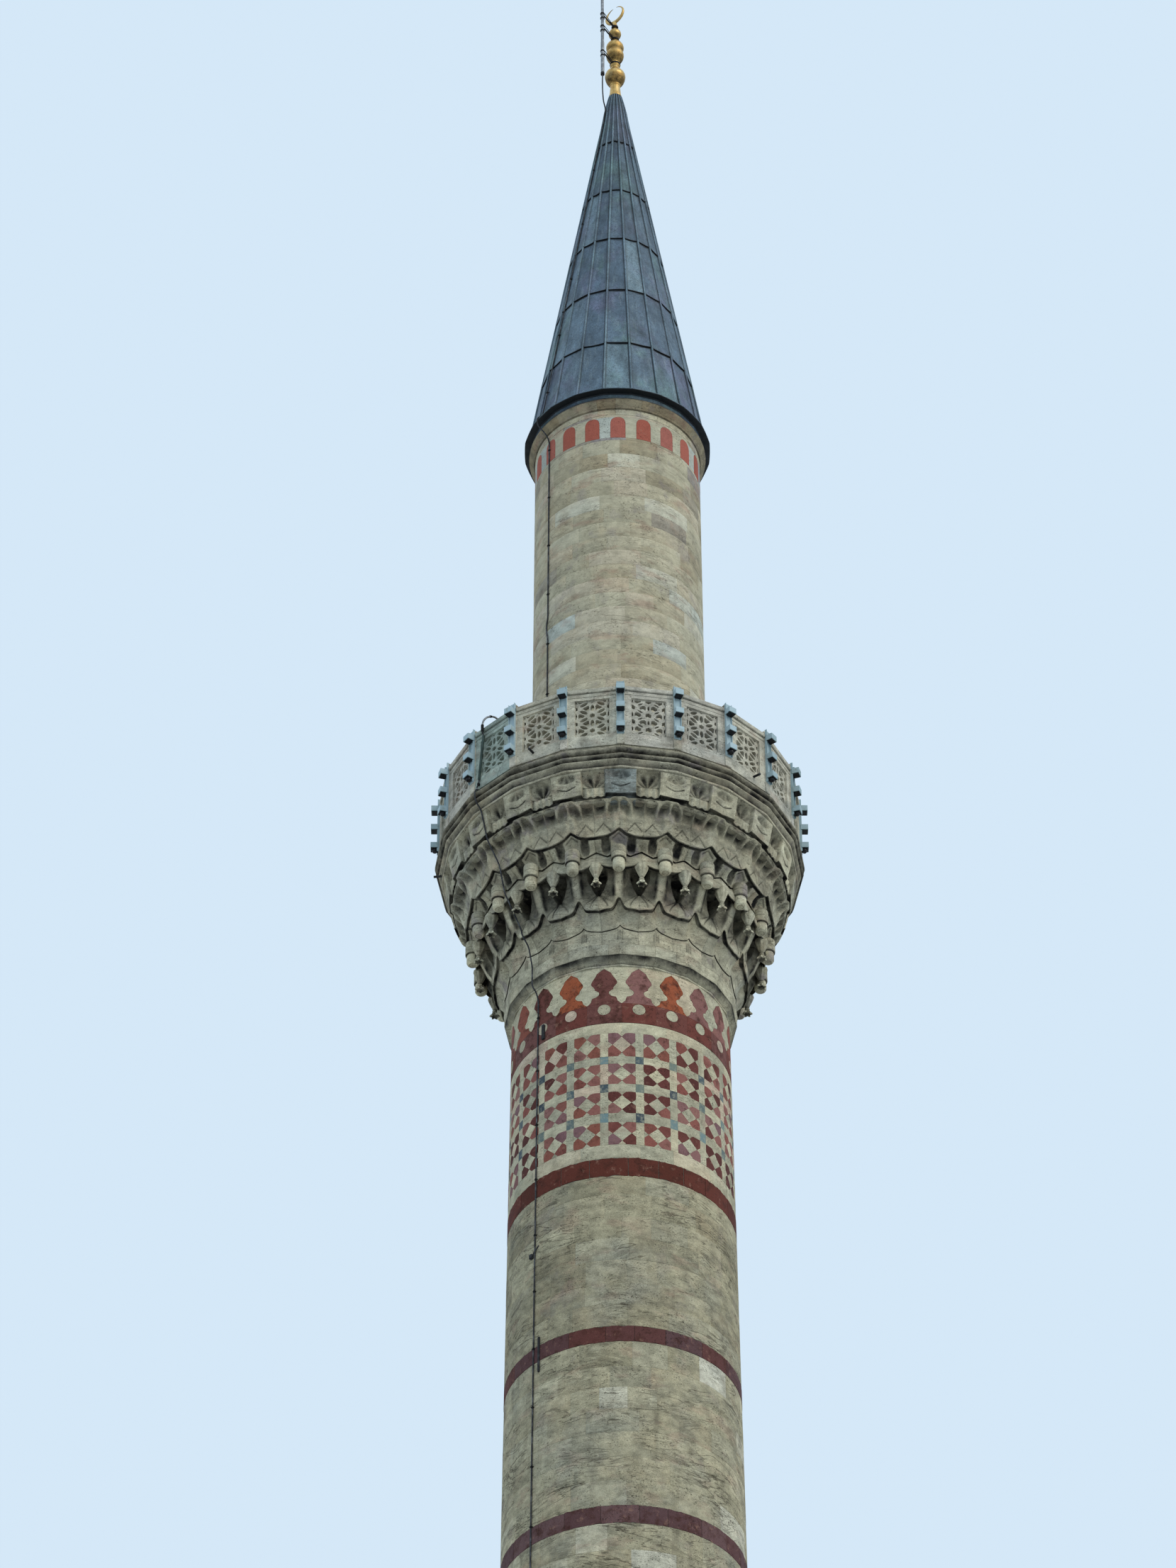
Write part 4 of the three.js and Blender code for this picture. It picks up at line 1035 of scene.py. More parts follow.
def net(spacing, ring, strip, start):
    """All holes of the piercing in one bay, with x across the bay and y its height."""
    across = spacing * math.sqrt(3) / 2
    sites = [(i * across, start + spacing * (j + 0.5 * (i % 2))) for i in range(-3, 4) for j in range(-4, 6)]
    centres = []
    for x, y in sites:
        centres += [(x + spacing / math.sqrt(3), y), (x - spacing / math.sqrt(3), y)]
    centres = list({(round(x, 2), round(y, 2)) for x, y in centres})

    def near(point, gap):
        return [centre for centre in centres if math.dist(centre, point) < gap]

    loops = []
    for x, y in sites:
        if abs(x) > FIELD_HALF + spacing or not FIELD_LOW - spacing < y < FIELD_TOP + spacing:
            continue
        loops.append(opening((x, y), [], [(*c, ring + strip) for c in near((x, y), 0.65 * spacing)],
                             0.3 * spacing, 24))
        for turn_from in (30, 90, 150):
            mid = (x + spacing / 2 * math.cos(math.radians(turn_from)),
                   y + spacing / 2 * math.sin(math.radians(turn_from)))
            loops.append(opening(mid, [(*c, ring - strip) for c in near(mid, 0.35 * spacing)], [], spacing))
    for x, y in centres:
        others = [(*c, ring + strip) for c in near((x, y), 0.65 * spacing) if math.dist(c, (x, y)) > 1]
        loops.append(opening((x, y), [(x, y, ring - strip)], others, 0.19 * spacing, 15))
    low, high = (-FIELD_HALF + 5, FIELD_LOW + 5), (FIELD_HALF - 5, FIELD_TOP - 5)
    return [kept for kept in (clipped(loop, low, high) for loop in loops) if kept]


def on_bay(points, azimuth, out=0.0):
    """Points given across, up and outward from the face of a bay, set at its place."""
    return facing(azimuth, points[:, 0], points[:, 2] + SIDE_OUT + out, points[:, 1])


def fix_on_bay(work, shape, azimuth, out, shade, finish=0, soot=0.0):
    points, faces = shape
    work.place(on_bay(points, azimuth, out), faces, shade, finish, soot)


def box_form(low, high, soft=3.0):
    """A block from one corner to the other with its edges taken off."""
    low, high = np.array(low, float), np.array(high, float)
    form = bmesh.new()
    bmesh.ops.create_cube(form, size=1)
    for v in form.verts:
        v.co = Vector(tuple((low + high) / 2 + np.array(v.co) * (high - low)))
    if soft:
        bmesh.ops.bevel(form, geom=form.edges[:], offset=soft, segments=1, affect="EDGES")
    form.verts.index_update()
    shape = np.array([v.co[:] for v in form.verts]), [[v.index for v in face.verts] for face in form.faces]
    form.free()
    return shape


field = oblong(-FIELD_HALF, FIELD_HALF, FIELD_LOW, FIELD_TOP)
old_net = slab_pattern(field, net(137, 57.5, 4.3, 26423), bend=0, thick=NET_THICK, gap=0)
new_net = slab_pattern(field, net(130, 50, 5.2, 26418), bend=0, thick=NET_THICK, gap=0)
frame_slab = slab_pattern(oblong(POST_HALF - BAY_HALF, BAY_HALF - POST_HALF, FLOOR_TOP, COPING_LOW),
                          [field], bend=0, thick=62, gap=0)
fillet = box_form((-168, 26581, -3), (168, 26589, 4), 1.5)
coping = box_form((-169, COPING_LOW + 3, -66), (169, COPING_TOP, 13), 4)
# A thin bed under the coping, painted near black: painted shadow under the coping.
bed_line_painted_shadow = box_form((-168, COPING_LOW, -60), (168, COPING_LOW + 4, 4), 1)
post = box_form((-POST_HALF, FLOOR_TOP, -68), (POST_HALF, POST_TOP - 22, 3), 4)
post_cap = box_form((-POST_HALF - 3, POST_TOP - 22, -71), (POST_HALF + 3, POST_TOP, 7), 7)

parapet_stone = limestone("parapet_limestone",
                          [(0.0, (0.385, 0.365, 0.285)), (0.5, (0.475, 0.450, 0.360)),
                           (0.85, (0.54, 0.49, 0.41)), (1.0, (0.36, 0.42, 0.355))], cool=0.5, bedding=0.25,
                          crust_and_shade_share=0.8)
dice = random.Random(77)
for k in range(PANELS):
    work = Stonework()
    middle = (k + 0.5) * BAY
    shade = {17: 1.0}.get(k, dice.uniform(0.2, 0.85))
    fix_on_bay(work, new_net if k == 0 else old_net, middle, -RECESS, shade, soot=0.12)
    for shape, soot in ((frame_slab, 0.0), (fillet, 0.1), (coping, 0.1), (bed_line_painted_shadow, 0.8)):
        fix_on_bay(work, shape, middle, 0, shade, soot=soot)
    for shape in (post, post_cap):
        fix_on_bay(work, shape, k * BAY, CORNER_OUT, dice.uniform(0.3, 0.8))
    piece = work.made(f"parapet_bay_{k + 1:02d}_stone", [parapet_stone])
    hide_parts(f"parapet_bay_{k + 1:02d}")

# Light strips: a flat painted channel on each corner of the parapet carries three floodlights,
# each a small ridged housing with a black glass under it and a round cable gland below.
painted = Finish("pale_blue_grey_paint", 0.45)
coat = painted.ramp(painted.shade, (0.0, (0.235, 0.32, 0.34)), (1.0, (0.42, 0.53, 0.57)))
coat = painted.mix(coat, (0.23, 0.27, 0.22), painted.noise(16, 4, 0.6).between(0.52, 0.75) * 0.7)
painted = painted.done(painted.mix(coat, (0.03, 0.03, 0.028), painted.soot), painted.noise(150), 0.0008)
black_glass = Finish("black_glass", 0.12)
dark = black_glass.ramp(black_glass.noise(22), (0.3, (0.006, 0.006, 0.007)), (0.7, (0.018, 0.018, 0.02)))
black_glass = black_glass.done(dark)
LAMP_HEIGHTS, LAMP_HALF = (26267, 26435, 26604), 29
# How much wider than the lamp, from and up to which height, from and up to how far out, the shade
# next to that of its strip, how much of that shade counts, and the finish.
LAMP_PARTS = [(0, -20, 23, 12, 64, 0.2, 1, 0), (1, 19, 24, 11, 65, 0.35, 1, 0),
              (1, 5, 8, 11, 65, 0.3, 1, 0), (1, -9, -6, 11, 65, 0.25, 1, 0),
              (0.5, -23, -18, 11, 64.5, 0.0, 0, 0), (-3, -27, -21, 15, 61, 0.5, 0, 1)]
lights = Stonework()
dice = random.Random(41)
for k in range(PANELS):
    shade = dice.uniform(0.2, 0.8)
    tilt = dice.uniform(-3, 3)
    fix_on_bay(lights, box_form((-24, 26216, 2), (24, 26690, 9), 1.5), k * BAY, CORNER_OUT, shade)
    for side in (-1, 1):
        # The side flanges take a darker shade of the channel's paint than its face: painted shade.
        edge = box_form((side * 24 - 2, 26216, 2), (side * 24 + 2, 26688, 20), 1)
        fix_on_bay(lights, edge, k * BAY, CORNER_OUT, shade * 0.8)
    for height in LAMP_HEIGHTS:
        drop = height + dice.uniform(-5, 5) + tilt
        for wider, low, high, back, front, look, counts, finish in LAMP_PARTS:
            half = LAMP_HALF + wider
            part = box_form((-half, drop + low, back), (half, drop + high, front), 1.2)
            fix_on_bay(lights, part, k * BAY, CORNER_OUT, min(1.0, look + counts * shade), finish)
    turns = all_round(12, math.tau)
    r = np.array([0.5, 14, 19, 20, 20, 14])[:, None]
    z = np.array([26221, 26222, 26227, 26234, 26243, 26246])[:, None]
    gland = np.stack(np.broadcast_arrays(r * np.cos(turns), z, 34 + r * np.sin(turns)), -1)
    gland = on_bay(gland.reshape(-1, 3), k * BAY, CORNER_OUT).reshape(gland.shape)
    lights.skin(gland[::-1], 0.3, 1, ring=True)
lights.made("parapet_floodlights", [painted, black_glass])

# Upper shaft: the stair turret over the balcony, of smaller and better kept limestone blocks. Its
# doorway to the balcony faces the back, under a wide lintel.
TURRET_WELL, DOOR_HEAD, TURRET_TOP, ARCH_TOP = 465, 27030, 29640, 29895
DOOR_TURN, DOOR_HALF = 180, 18.0
TURRET_RADIUS, TAPER, TAPER_LOW = 615, 8, 27060


def turret_radius(height):
    return TURRET_RADIUS - TAPER * np.maximum(0, height - TAPER_LOW) / (TURRET_TOP - TAPER_LOW)


turret_stone = limestone("turret_limestone", [(0.0, (0.285, 0.262, 0.250)), (0.10, (0.335, 0.290, 0.195)),
                                              (0.35, (0.415, 0.375, 0.262)), (0.65, (0.465, 0.425, 0.305)),
                                              (0.85, (0.475, 0.410, 0.300)), (0.95, (0.535, 0.505, 0.390)),
                                              (1.0, (0.45, 0.480, 0.425))], warm=0.45, cool=0.15,
                         bedding=0.3, mottle=0.55, soiled=0.25)
dice = random.Random(61)
turret = Stonework()
beds = list(np.linspace(FLOOR_TOP, DOOR_HEAD, 7)) + list(np.linspace(DOOR_HEAD, TURRET_TOP, 20)[1:])
for z0, z1 in zip(beds, beds[1:]):
    start, sweep = dice.uniform(0, 360), 360
    if z1 <= DOOR_HEAD + 1:
        start, sweep = DOOR_TURN + DOOR_HALF, 360 - 2 * DOOR_HALF
    elif z0 <= DOOR_HEAD + 1:
        start, sweep = DOOR_TURN + DOOR_HALF + 9, 360 - 2 * DOOR_HALF - 18
        cut_block(turret, (DOOR_TURN - DOOR_HALF - 9, DOOR_TURN + DOOR_HALF + 9), (z0, z1), turret_radius,
                  0.9, 0, 3.5)
    joints = start + fitted_joints(sweep, 16, lambda: dice.uniform(19, 36))
    for a0, a1 in zip(joints, joints[1:]):
        tone = dice.uniform(0.35, 1) if z0 < 28300 else dice.uniform(0, 0.95)
        cut_block(turret, (a0, a1), (z0, z1), turret_radius, tone, 0, 3.5, dice.uniform(-0.3, 0.3))
turns = np.linspace(DOOR_TURN + DOOR_HALF, DOOR_TURN + 360 - DOOR_HALF, 80)[None, :]
line = [(TURRET_WELL, FLOOR_TOP), (turret_radius(FLOOR_TOP) - 3, FLOOR_TOP)]
line += [(turret_radius(DOOR_HEAD) - 3, DOOR_HEAD), (TURRET_WELL, DOOR_HEAD)]
r, z = by_column(line)
turret.skin(around(turns, r, z), 0.5, 1, loop=True)
for column, order in ((0, -1), (-1, 1)):
    turret.place(around(turns[0, column], r[:, 0], z[:, 0])[::order], [[0, 1, 2, 3]], 0.6, 0)
hearting(turret, DOOR_HEAD, TURRET_TOP, turret_radius, TURRET_WELL)
piece = turret.made("turret_ashlar", [turret_stone, lime])
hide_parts("upper_shaft_front", "upper_shaft_jamb_left",
            "upper_shaft_jamb_right", "upper_shaft_body")

# Arch ring: under the eave twenty brick-red tongues with round heads are let into the top course,
# between short cream stones, a few of them blue-grey.
TONGUE_LOW, TONGUE_TOP, TONGUE_HALF = 29663, 29872, math.radians(5.2) * BAND_RADIUS
brick_red = red_stone("brick_red", (0.0, (0.300, 0.082, 0.055)), (0.5, (0.355, 0.100, 0.068)),
                      (1.0, (0.330, 0.115, 0.090)), pitted=0.15)
head_curve = [(math.copysign(abs(math.cos(a)) ** 0.8, math.cos(a)) * TONGUE_HALF,
               TONGUE_TOP - 72 + 72 * math.sin(a) ** 0.8) for a in np.linspace(0, math.pi, 15)]
tongue_outline = [(-TONGUE_HALF, TONGUE_LOW), (TONGUE_HALF, TONGUE_LOW)] + head_curve
tongue = slab_pattern([(x, y - TONGUE_LOW) for x, y in tongue_outline], thick=8)
spandrel = [(TONGUE_HALF, TONGUE_LOW), (2 * HALF_BAY - TONGUE_HALF, TONGUE_LOW)]
spandrel += [(2 * HALF_BAY + x, y) for x, y in reversed(head_curve[7:])]
spandrel += reversed(head_curve[:8])
spandrel = slab_pattern([(x - HALF_BAY, y - TONGUE_LOW) for x, y in spandrel], thick=8)
heads = Stonework()
for k in range(PANELS):
    inlay(heads, tongue, k * BAY, TONGUE_LOW, turret_radius, dice.random(), 0, 0.4)
    tint = dice.choice((0.3, 0.5, 0.7, 0.9, 1.0))
    inlay(heads, spandrel, (k + 0.5) * BAY, TONGUE_LOW, turret_radius, tint, 1)
for low, high in ((TURRET_TOP, TONGUE_LOW), (TONGUE_TOP, ARCH_TOP)):
    lay_courses(heads, low, high, turret_radius, high - low, dice, (20, 34), 3.5, 2)
hearting(heads, TURRET_TOP, ARCH_TOP, turret_radius, TURRET_WELL, finish=3)
spandrel_stone = limestone("spandrel_limestone",
                           [(0.0, (0.40, 0.375, 0.275)), (0.75, (0.455, 0.430, 0.315)),
                            (0.9, (0.40, 0.42, 0.37)), (1.0, (0.29, 0.31, 0.32))], bedding=0.2, mottle=0.5)
piece = heads.made("arch_ring_stones", [brick_red, spandrel_stone, turret_stone, lime])
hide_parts("arch_ring")

# Stone cornice under the eave: a plain cavetto between two dark lines. The lines are painted shadow
# under the steps, and the cavetto is painted darker towards its top, under the lead: painted shade.
EAVES = [(TURRET_WELL, 29896), (605, 29896), (607, 29898), (607, 29944), (606, 29948), (611, 29950),
         (616, 29953), (617, 29957), (617, 29963), (620, 29970), (627, 29980), (636, 29990), (645, 30000),
         (651, 30008), (652, 30013), (643, 30016), (640, 30032), (TURRET_WELL, 30032)]
CAVETTO_LOW = 29949
# This list paints the lines under the steps black and the cavetto darker towards its top: painted shadow and
# painted shade.
EAVE_SOOT_AND_SHADE = [0, 0.3, 0, 0.1, 0.8, 1, 1, 0.8, 0.6, 0.7, 0.5, 0.45, 0.5, 0.65, 0.95, 1, 1, 0]
work = Stonework()
r, z = by_column(EAVES)
joints = [k * 15 + dice.uniform(-3, 3) for k in range(24)]


def eave_shade():
    """Pale up to the cavetto and darker from there."""
    return np.where(z < CAVETTO_LOW, dice.uniform(0.7, 1.0), dice.uniform(0, 0.4))


rows = (r, z, np.array(EAVE_SOOT_AND_SHADE)[:, None] * 0.9)
moulded_ring(work, joints, rows, math.degrees(ARRIS / 640) * 0.5, 7, 1.5, eave_shade)
eave_stone = limestone("eave_limestone", [(0.0, (0.36, 0.295, 0.185)), (0.5, (0.42, 0.36, 0.24)),
                                          (1.0, (0.48, 0.44, 0.315))], warm=0.8, bedding=0.2, mottle=0.6,
                       crust_and_shade_share=0.75, soiled=0.4)
piece = work.made("eave_cornice_stones", [eave_stone])
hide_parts("eave_cornice")

# Lead: the eave fascia and the spire are dressed in lead sheets over boards. Each sheet laps the
# one below and turns up into a wooden roll on both sides. It has dulled to blue and green greys.
lead = Finish("weathered_lead", 0.6, 0.3, 0.4)
sheet = lead.ramp(lead.shade, (0.0, (0.062, 0.096, 0.134)), (0.5, (0.094, 0.140, 0.184)),
                  (1.0, (0.134, 0.196, 0.234)))
sheet = lead.mix(sheet, (0.135, 0.235, 0.200),
                 lead.noise(3.1, 4, 0.62, lead.stretched(1, 1, 0.7)).between(0.52, 0.70) * 0.45)
sheet = lead.mix(sheet, (0.150, 0.145, 0.235),
                 lead.noise(2.6, 4, 0.62, lead.stretched(1, 1, 0.6)).between(0.50, 0.68) * 0.5)
dull = lead.noise(5.5, 5, 0.68, lead.stretched(1.6, 1.6, 0.8))
sheet = lead.grained(sheet, dull, (0.32, 0.22), (0.68, 0.74), 0.75)
streaks = lead.noise(1.0, 4, 0.6, lead.stretched(30, 30, 1.2)).between(0.50, 0.72)
sheet = lead.mix(sheet, (0.26, 0.33, 0.35), streaks * 0.28)
sheet = lead.mix(sheet, (0.025, 0.036, 0.048), lead.noise(48, 5, 0.72).between(0.50, 0.68) * 0.55)
grain = lead.noise(190, 3, 0.75)
sheet = lead.grained(sheet, grain, (0.3, 0.18), (0.7, 0.82), 0.9)
# Black where the per-point darkening says: painted shadow under the laps and the eave, and painted shade
# beside the rolls.
sheet = lead.mix(sheet, (0.004, 0.006, 0.008), lead.soot)
relief = lead.noise(7, 3, 0.5) * 0.6 + grain * 0.15
lead = lead.done(sheet, relief, 0.004, lead.noise(20, 3).between(0.3, 0.8) * 0.2 + 0.5)

# The underside of the eave's overhang and the soffit over the stone are painted black: painted shade.
EAVE_ROWS = [(606, 30034, 1), (633, 30034, 1), (638, 30036, 1), (640, 30043, 0.6), (640, 30066, 0.25),
             (640, 30073, 1), (645, 30080, 1), (684, 30086, 1), (688, 30087, 1), (690, 30090, 0.9),
             (690, 30093, 0.1), (690, 30096, 0), (686, 30099, 0), (668, 30104, 0), (606, 30104, 0)]
eave = Stonework()
r, z, soot = by_column(EAVE_ROWS)
turns = np.linspace(-BAY / 2, 360 - BAY / 2, PANELS * 9, endpoint=False)[None, :]
bays = np.floor((turns + BAY / 2) / BAY)
dice = random.Random(19)
tones = np.array([dice.random() for _ in range(PANELS)])[bays.astype(int)]
flat = sided(1, turns + BAY / 2)
grid = around(turns, np.where(r > 610, r * (0.45 + 0.55 * flat), r), z)
eave.skin(grid, tones, 0, soot, ring=True, loop=True)
piece = eave.made("lead_eave", [lead])
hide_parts("spire_eave")

SPIRE_LOW, SPIRE_TOP, SPIRE_FOOT, SPIRE_TIP = 30105, 33985, 665, 49
LAPS = (30689, 31356, 32022, 32661, 33319)


def roll_radius(base):
    return np.minimum(7.5, 0.19 * np.radians(BAY) * base)


def spire_radius(height):
    t = (height - SPIRE_LOW) / (SPIRE_TOP - SPIRE_LOW)
    flare = 5 * np.exp(-((height - SPIRE_LOW) / 60.0) ** 2) + 7 * np.exp(-((height - 33830) / 150.0) ** 2)
    return SPIRE_FOOT - 9 + (SPIRE_TIP - SPIRE_FOOT + 9) * t + flare - 3


spire = Stonework()
dice = random.Random(53)
for k in range(PANELS):
    bows = [dice.uniform(-6, 6) for _ in LAPS]
    leans = [dice.uniform(-5, 5) for _ in LAPS]
    swell = dice.uniform(0.4, 1.6)
    edges = [SPIRE_LOW - 1, *LAPS, SPIRE_TOP - 2]
    for number, (z0, z1) in enumerate(zip(edges, edges[1:])):
        # Upper sheets are darker towards the top.
        tone = dice.random() * (1 - 0.5 * (number == 5) - 0.3 * (number == 4))
        u = np.array([-1, -0.96, -0.88, -0.6, -0.3, 0, 0.3, 0.6, 0.88, 0.96, 1])[None, :]
        foot = z0 + (0 if number == 0 else bows[number - 1] * (1 - u ** 2) + leans[number - 1] * u)
        head = z1 + (0 if number == len(LAPS) else bows[number] * (1 - u ** 2) + leans[number] * u + 14)
        t = np.concatenate([[0.0, 0.0, 0.006, 0.013], np.linspace(0.03, 0.94, 8), [0.962, 0.974, 1]])[:, None]
        height = foot + (head - foot) * t
        base = spire_radius(height)
        arc = np.radians(BAY) * base
        half = BAY / 2 - np.degrees(roll_radius(base) / base)
        theta = u * half
        proud = np.array([-2.0, 8.0, 9.0, 8.0] + [7.0] * 11)[:, None] * (number > 0) * (1 - 0.85 * t)
        dents = swell * np.sin(height / 97 + k * 2.1) * np.sin(u * 2.4 + k)
        dish = -2.2 * (1 - u ** 2) * (arc / 200) + dents * (arc / 200)
        r = base * math.cos(math.radians(BAY / 2)) / np.cos(np.radians(theta)) + proud + dish
        r[:, [0, -1]] += 1.5
        # Darker towards the top. Black under each lap and at the head under the next lap: painted shadow.
        soot = np.zeros_like(r) + 0.08 * (number > 2) + 0.12 * (number > 3) + 0.3 * (number > 4)
        soot[0:3] = 1.0 if number > 0 else 0.0
        if number < len(LAPS):
            soot[-2:] = 1.0
            soot[-3] = np.clip(dice.uniform(0, 1.2) + 0.5 * u[0], 0, 1)
        # The valley beside each roll is painted dark, stronger on one side: painted shade.
        valley = (1 - np.abs(u)) * np.radians(half) * base
        soot = np.maximum(soot, np.clip(1.4 - valley / 6, 0, 1) * np.where(u > 0, 1.0, 0.5))
        spire.skin(around(k * BAY + theta, r, height), tone, 0, soot)
    z = np.linspace(SPIRE_LOW, SPIRE_TOP - 2, 40)[:, None]
    base = spire_radius(z)
    roll = roll_radius(base)
    turn_round = np.linspace(-0.15, math.pi + 0.15, 9)[None, :]
    side = np.degrees(np.cos(turn_round) * (roll + 1) / base)
    rise = np.sin(turn_round) * (roll * 1.2 + 1.0) + 0.3
    knot = 1.2 * np.sum([np.exp(-((z - lap) / 16.0) ** 2) for lap in LAPS], axis=0)
    # The foot of each roll is painted dark on both sides: painted shade.
    roll_foot_painted_shade = 0.9 * (1 - np.sin(np.clip(turn_round, 0, 3.1))) ** 2
    grid = around((k + 0.5) * BAY - side, base + rise + knot + 1.0, z)
    spire.skin(grid, dice.uniform(0.6, 1.0), 0, roll_foot_painted_shade)
collar = [(SPIRE_TIP - 1, SPIRE_TOP - 22), (SPIRE_TIP + 4, SPIRE_TOP - 16), (SPIRE_TIP + 3, SPIRE_TOP - 6),
          (SPIRE_TIP - 6, SPIRE_TOP - 2)]
lining = [(606, SPIRE_LOW), (SPIRE_FOOT - 40, SPIRE_LOW), (SPIRE_TIP - 12, SPIRE_TOP - 4), (4, SPIRE_TOP - 4),
          (2, SPIRE_TOP - 560)]
for rows, soot, closed in ((collar, 1.0, False), (lining, 0.6, True)):
    r, z = by_column(rows)
    spire.skin(around(all_round(40), r, z), 0.2, 0, soot, ring=True, loop=closed)
piece = spire.made("lead_spire", [lead], crease=32)
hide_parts("spire")

# Finial: spun copper, gilded. A flared neck, a ball, two bulbs set close, a small ball and an open
# crescent on a cone. The undersides are painted dark: painted shade, with the dirt that hangs
# there where the rain doesn't reach.
gold = Finish("worn_gilding", 0.34, 0.85, 0.5)
leaf_gold = gold.mix((0.72, 0.47, 0.16), (0.52, 0.30, 0.085), gold.noise(28, 4, 0.6).between(0.35, 0.7))
leaf_gold = gold.mix(leaf_gold, (0.78, 0.60, 0.30), gold.noise(11, 3, 0.5).between(0.5, 0.75) * 0.6)
spots = gold.noise(70, 3, 0.6).between(0.62, 0.74)
leaf_gold = gold.mix(leaf_gold, (0.09, 0.05, 0.02), spots * 0.5)
# Dark gilding on the undersides: painted shade, with dirt.
leaf_gold = gold.mix(leaf_gold, (0.055, 0.034, 0.014),
                     gold.soot * (gold.noise(40, 4, 0.6).between(0.2, 0.75) * 0.6 + 0.4))
gold = gold.done(leaf_gold, gold.noise(90, 2), 0.0012,
                 gold.soot * 0.3 + gold.noise(30, 3).between(0.3, 0.8) * 0.2 + 0.28)
GILT = [(47, 33986, 0.5), (50, 33989, 0.1), (51, 33996, 0), (48, 34002, 0.2), (46, 34010, 0),
        (43, 34040, 0), (40, 34070, 0), (38, 34088, 0), (38, 34092, 0.6), (42, 34095, 0.4),
        (43, 34101, 0.2), (41, 34106, 0.6), (45, 34110, 1), (58, 34122, 1), (69, 34140, 1),
        (77, 34162, 0.8), (81, 34186, 0.15), (79, 34206, 0), (72, 34226, 0), (61, 34242, 0), (49, 34256, 0),
        (40, 34270, 0), (35, 34286, 0), (33, 34300, 0.1), (33, 34304, 0.7), (37, 34307, 0.3),
        (38, 34312, 0.1), (35, 34316, 0.8), (38, 34320, 0.3), (39, 34325, 0.1), (35, 34329, 0.8),
        (31, 34334, 0.2), (29, 34350, 0.1), (29, 34366, 0.3), (33, 34374, 0.9), (46, 34384, 1),
        (58, 34400, 1), (66, 34422, 0.85), (70, 34446, 0.3), (69, 34466, 0), (64, 34484, 0),
        (59, 34494, 0.1), (57, 34499, 0.8), (59, 34504, 0.9), (65, 34514, 0.75), (69, 34530, 0.4),
        (70, 34548, 0.05), (66, 34566, 0), (57, 34584, 0), (45, 34598, 0), (34, 34610, 0), (27, 34622, 0),
        (25, 34634, 0.1), (24, 34645, 0.1), (26, 34650, 0.6), (28, 34654, 0.2), (25, 34659, 0.7),
        (27, 34664, 1), (37, 34676, 1), (46, 34692, 0.8), (50, 34710, 0.2), (48, 34726, 0), (41, 34742, 0),
        (31, 34753, 0), (22, 34762, 0.1), (17, 34770, 0.2), (15, 34778, 0.2), (16, 34786, 0.3),
        (20, 34792, 0.4), (21, 34798, 0), (19, 34808, 0), (17, 34830, 0), (14, 34850, 0), (10, 34866, 0),
        (3, 34874, 0)]
finial = Stonework()
LIFTED = [(33996, 0), (34100, 25), (34186, 40), (34300, 36), (34446, 27), (34550, 26), (34710, 20),
          (34870, 24)]
r, z, soot = by_column(GILT)
z = z + np.interp(z, *zip(*LIFTED))
GILT_SIDES = 48
turns = all_round(GILT_SIDES)
finial.skin(around(turns, r, z), 0.5, 0, soot, ring=True)
for row, order in ((0, -1), (-1, 1)):
    finial.place(around(turns, r[row], z[row]), [list(range(GILT_SIDES))[::order]], 0.5, 0)
HORN_TURN, HORN_CENTRE, HORN_RADIUS, HORN_TOP = 51, 34960, 84, 35054
along = np.linspace(-1, 1, 49)
sweep = math.radians(180) + along * math.radians(169)
weight = np.clip(1 - np.abs(along) ** 1.6, 0.02, 1)
section = all_round(14, math.tau)
out = (HORN_RADIUS + 6 * (np.abs(along) - 0.5))[:, None] + np.cos(section)[None, :] * (15.0 * weight)[:, None]
side = np.sin(section)[None, :] * (11.5 * weight ** 0.8 + 1.2)[:, None]
reach_out, up = out * np.sin(sweep)[:, None], HORN_CENTRE + out * np.cos(sweep)[:, None]
shadow = np.clip(np.cos(section)[None, :] * -np.cos(sweep)[:, None], 0, 1) * 0.75
horns = facing(HORN_TURN, side, reach_out, np.minimum(up, HORN_TOP))
finial.skin(horns.transpose(1, 0, 2)[::-1], 0.5, 0, shadow.T[::-1], loop=True)
piece = finial.made("gilt_finial", [gold], crease=50)
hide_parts("finial")

# Lightning rod: a galvanised tube beside the finial, strapped to three bars that clasp its necks.
# It ends in a dark ball and a point. Its cable leaves the foot and swings in to the spire.
zinc = Finish("galvanised_tube", 0.45, 0.6, 0.5)
tube_colour = zinc.mix((0.17, 0.175, 0.185), (0.33, 0.345, 0.36), zinc.noise(40, 3, 0.6).between(0.4, 0.7))
zinc = zinc.done(zinc.mix(tube_colour, (0.03, 0.03, 0.032), zinc.soot), zinc.noise(160), 0.0006)
iron = Finish("dark_ironwork", 0.6, 0.4)
iron = iron.done(iron.mix((0.012, 0.012, 0.014), (0.045, 0.036, 0.030),
                          iron.noise(90, 4, 0.6).between(0.4, 0.75)), iron.noise(140), 0.0008)
MAST_TURN, MAST_OUT = -39, 158


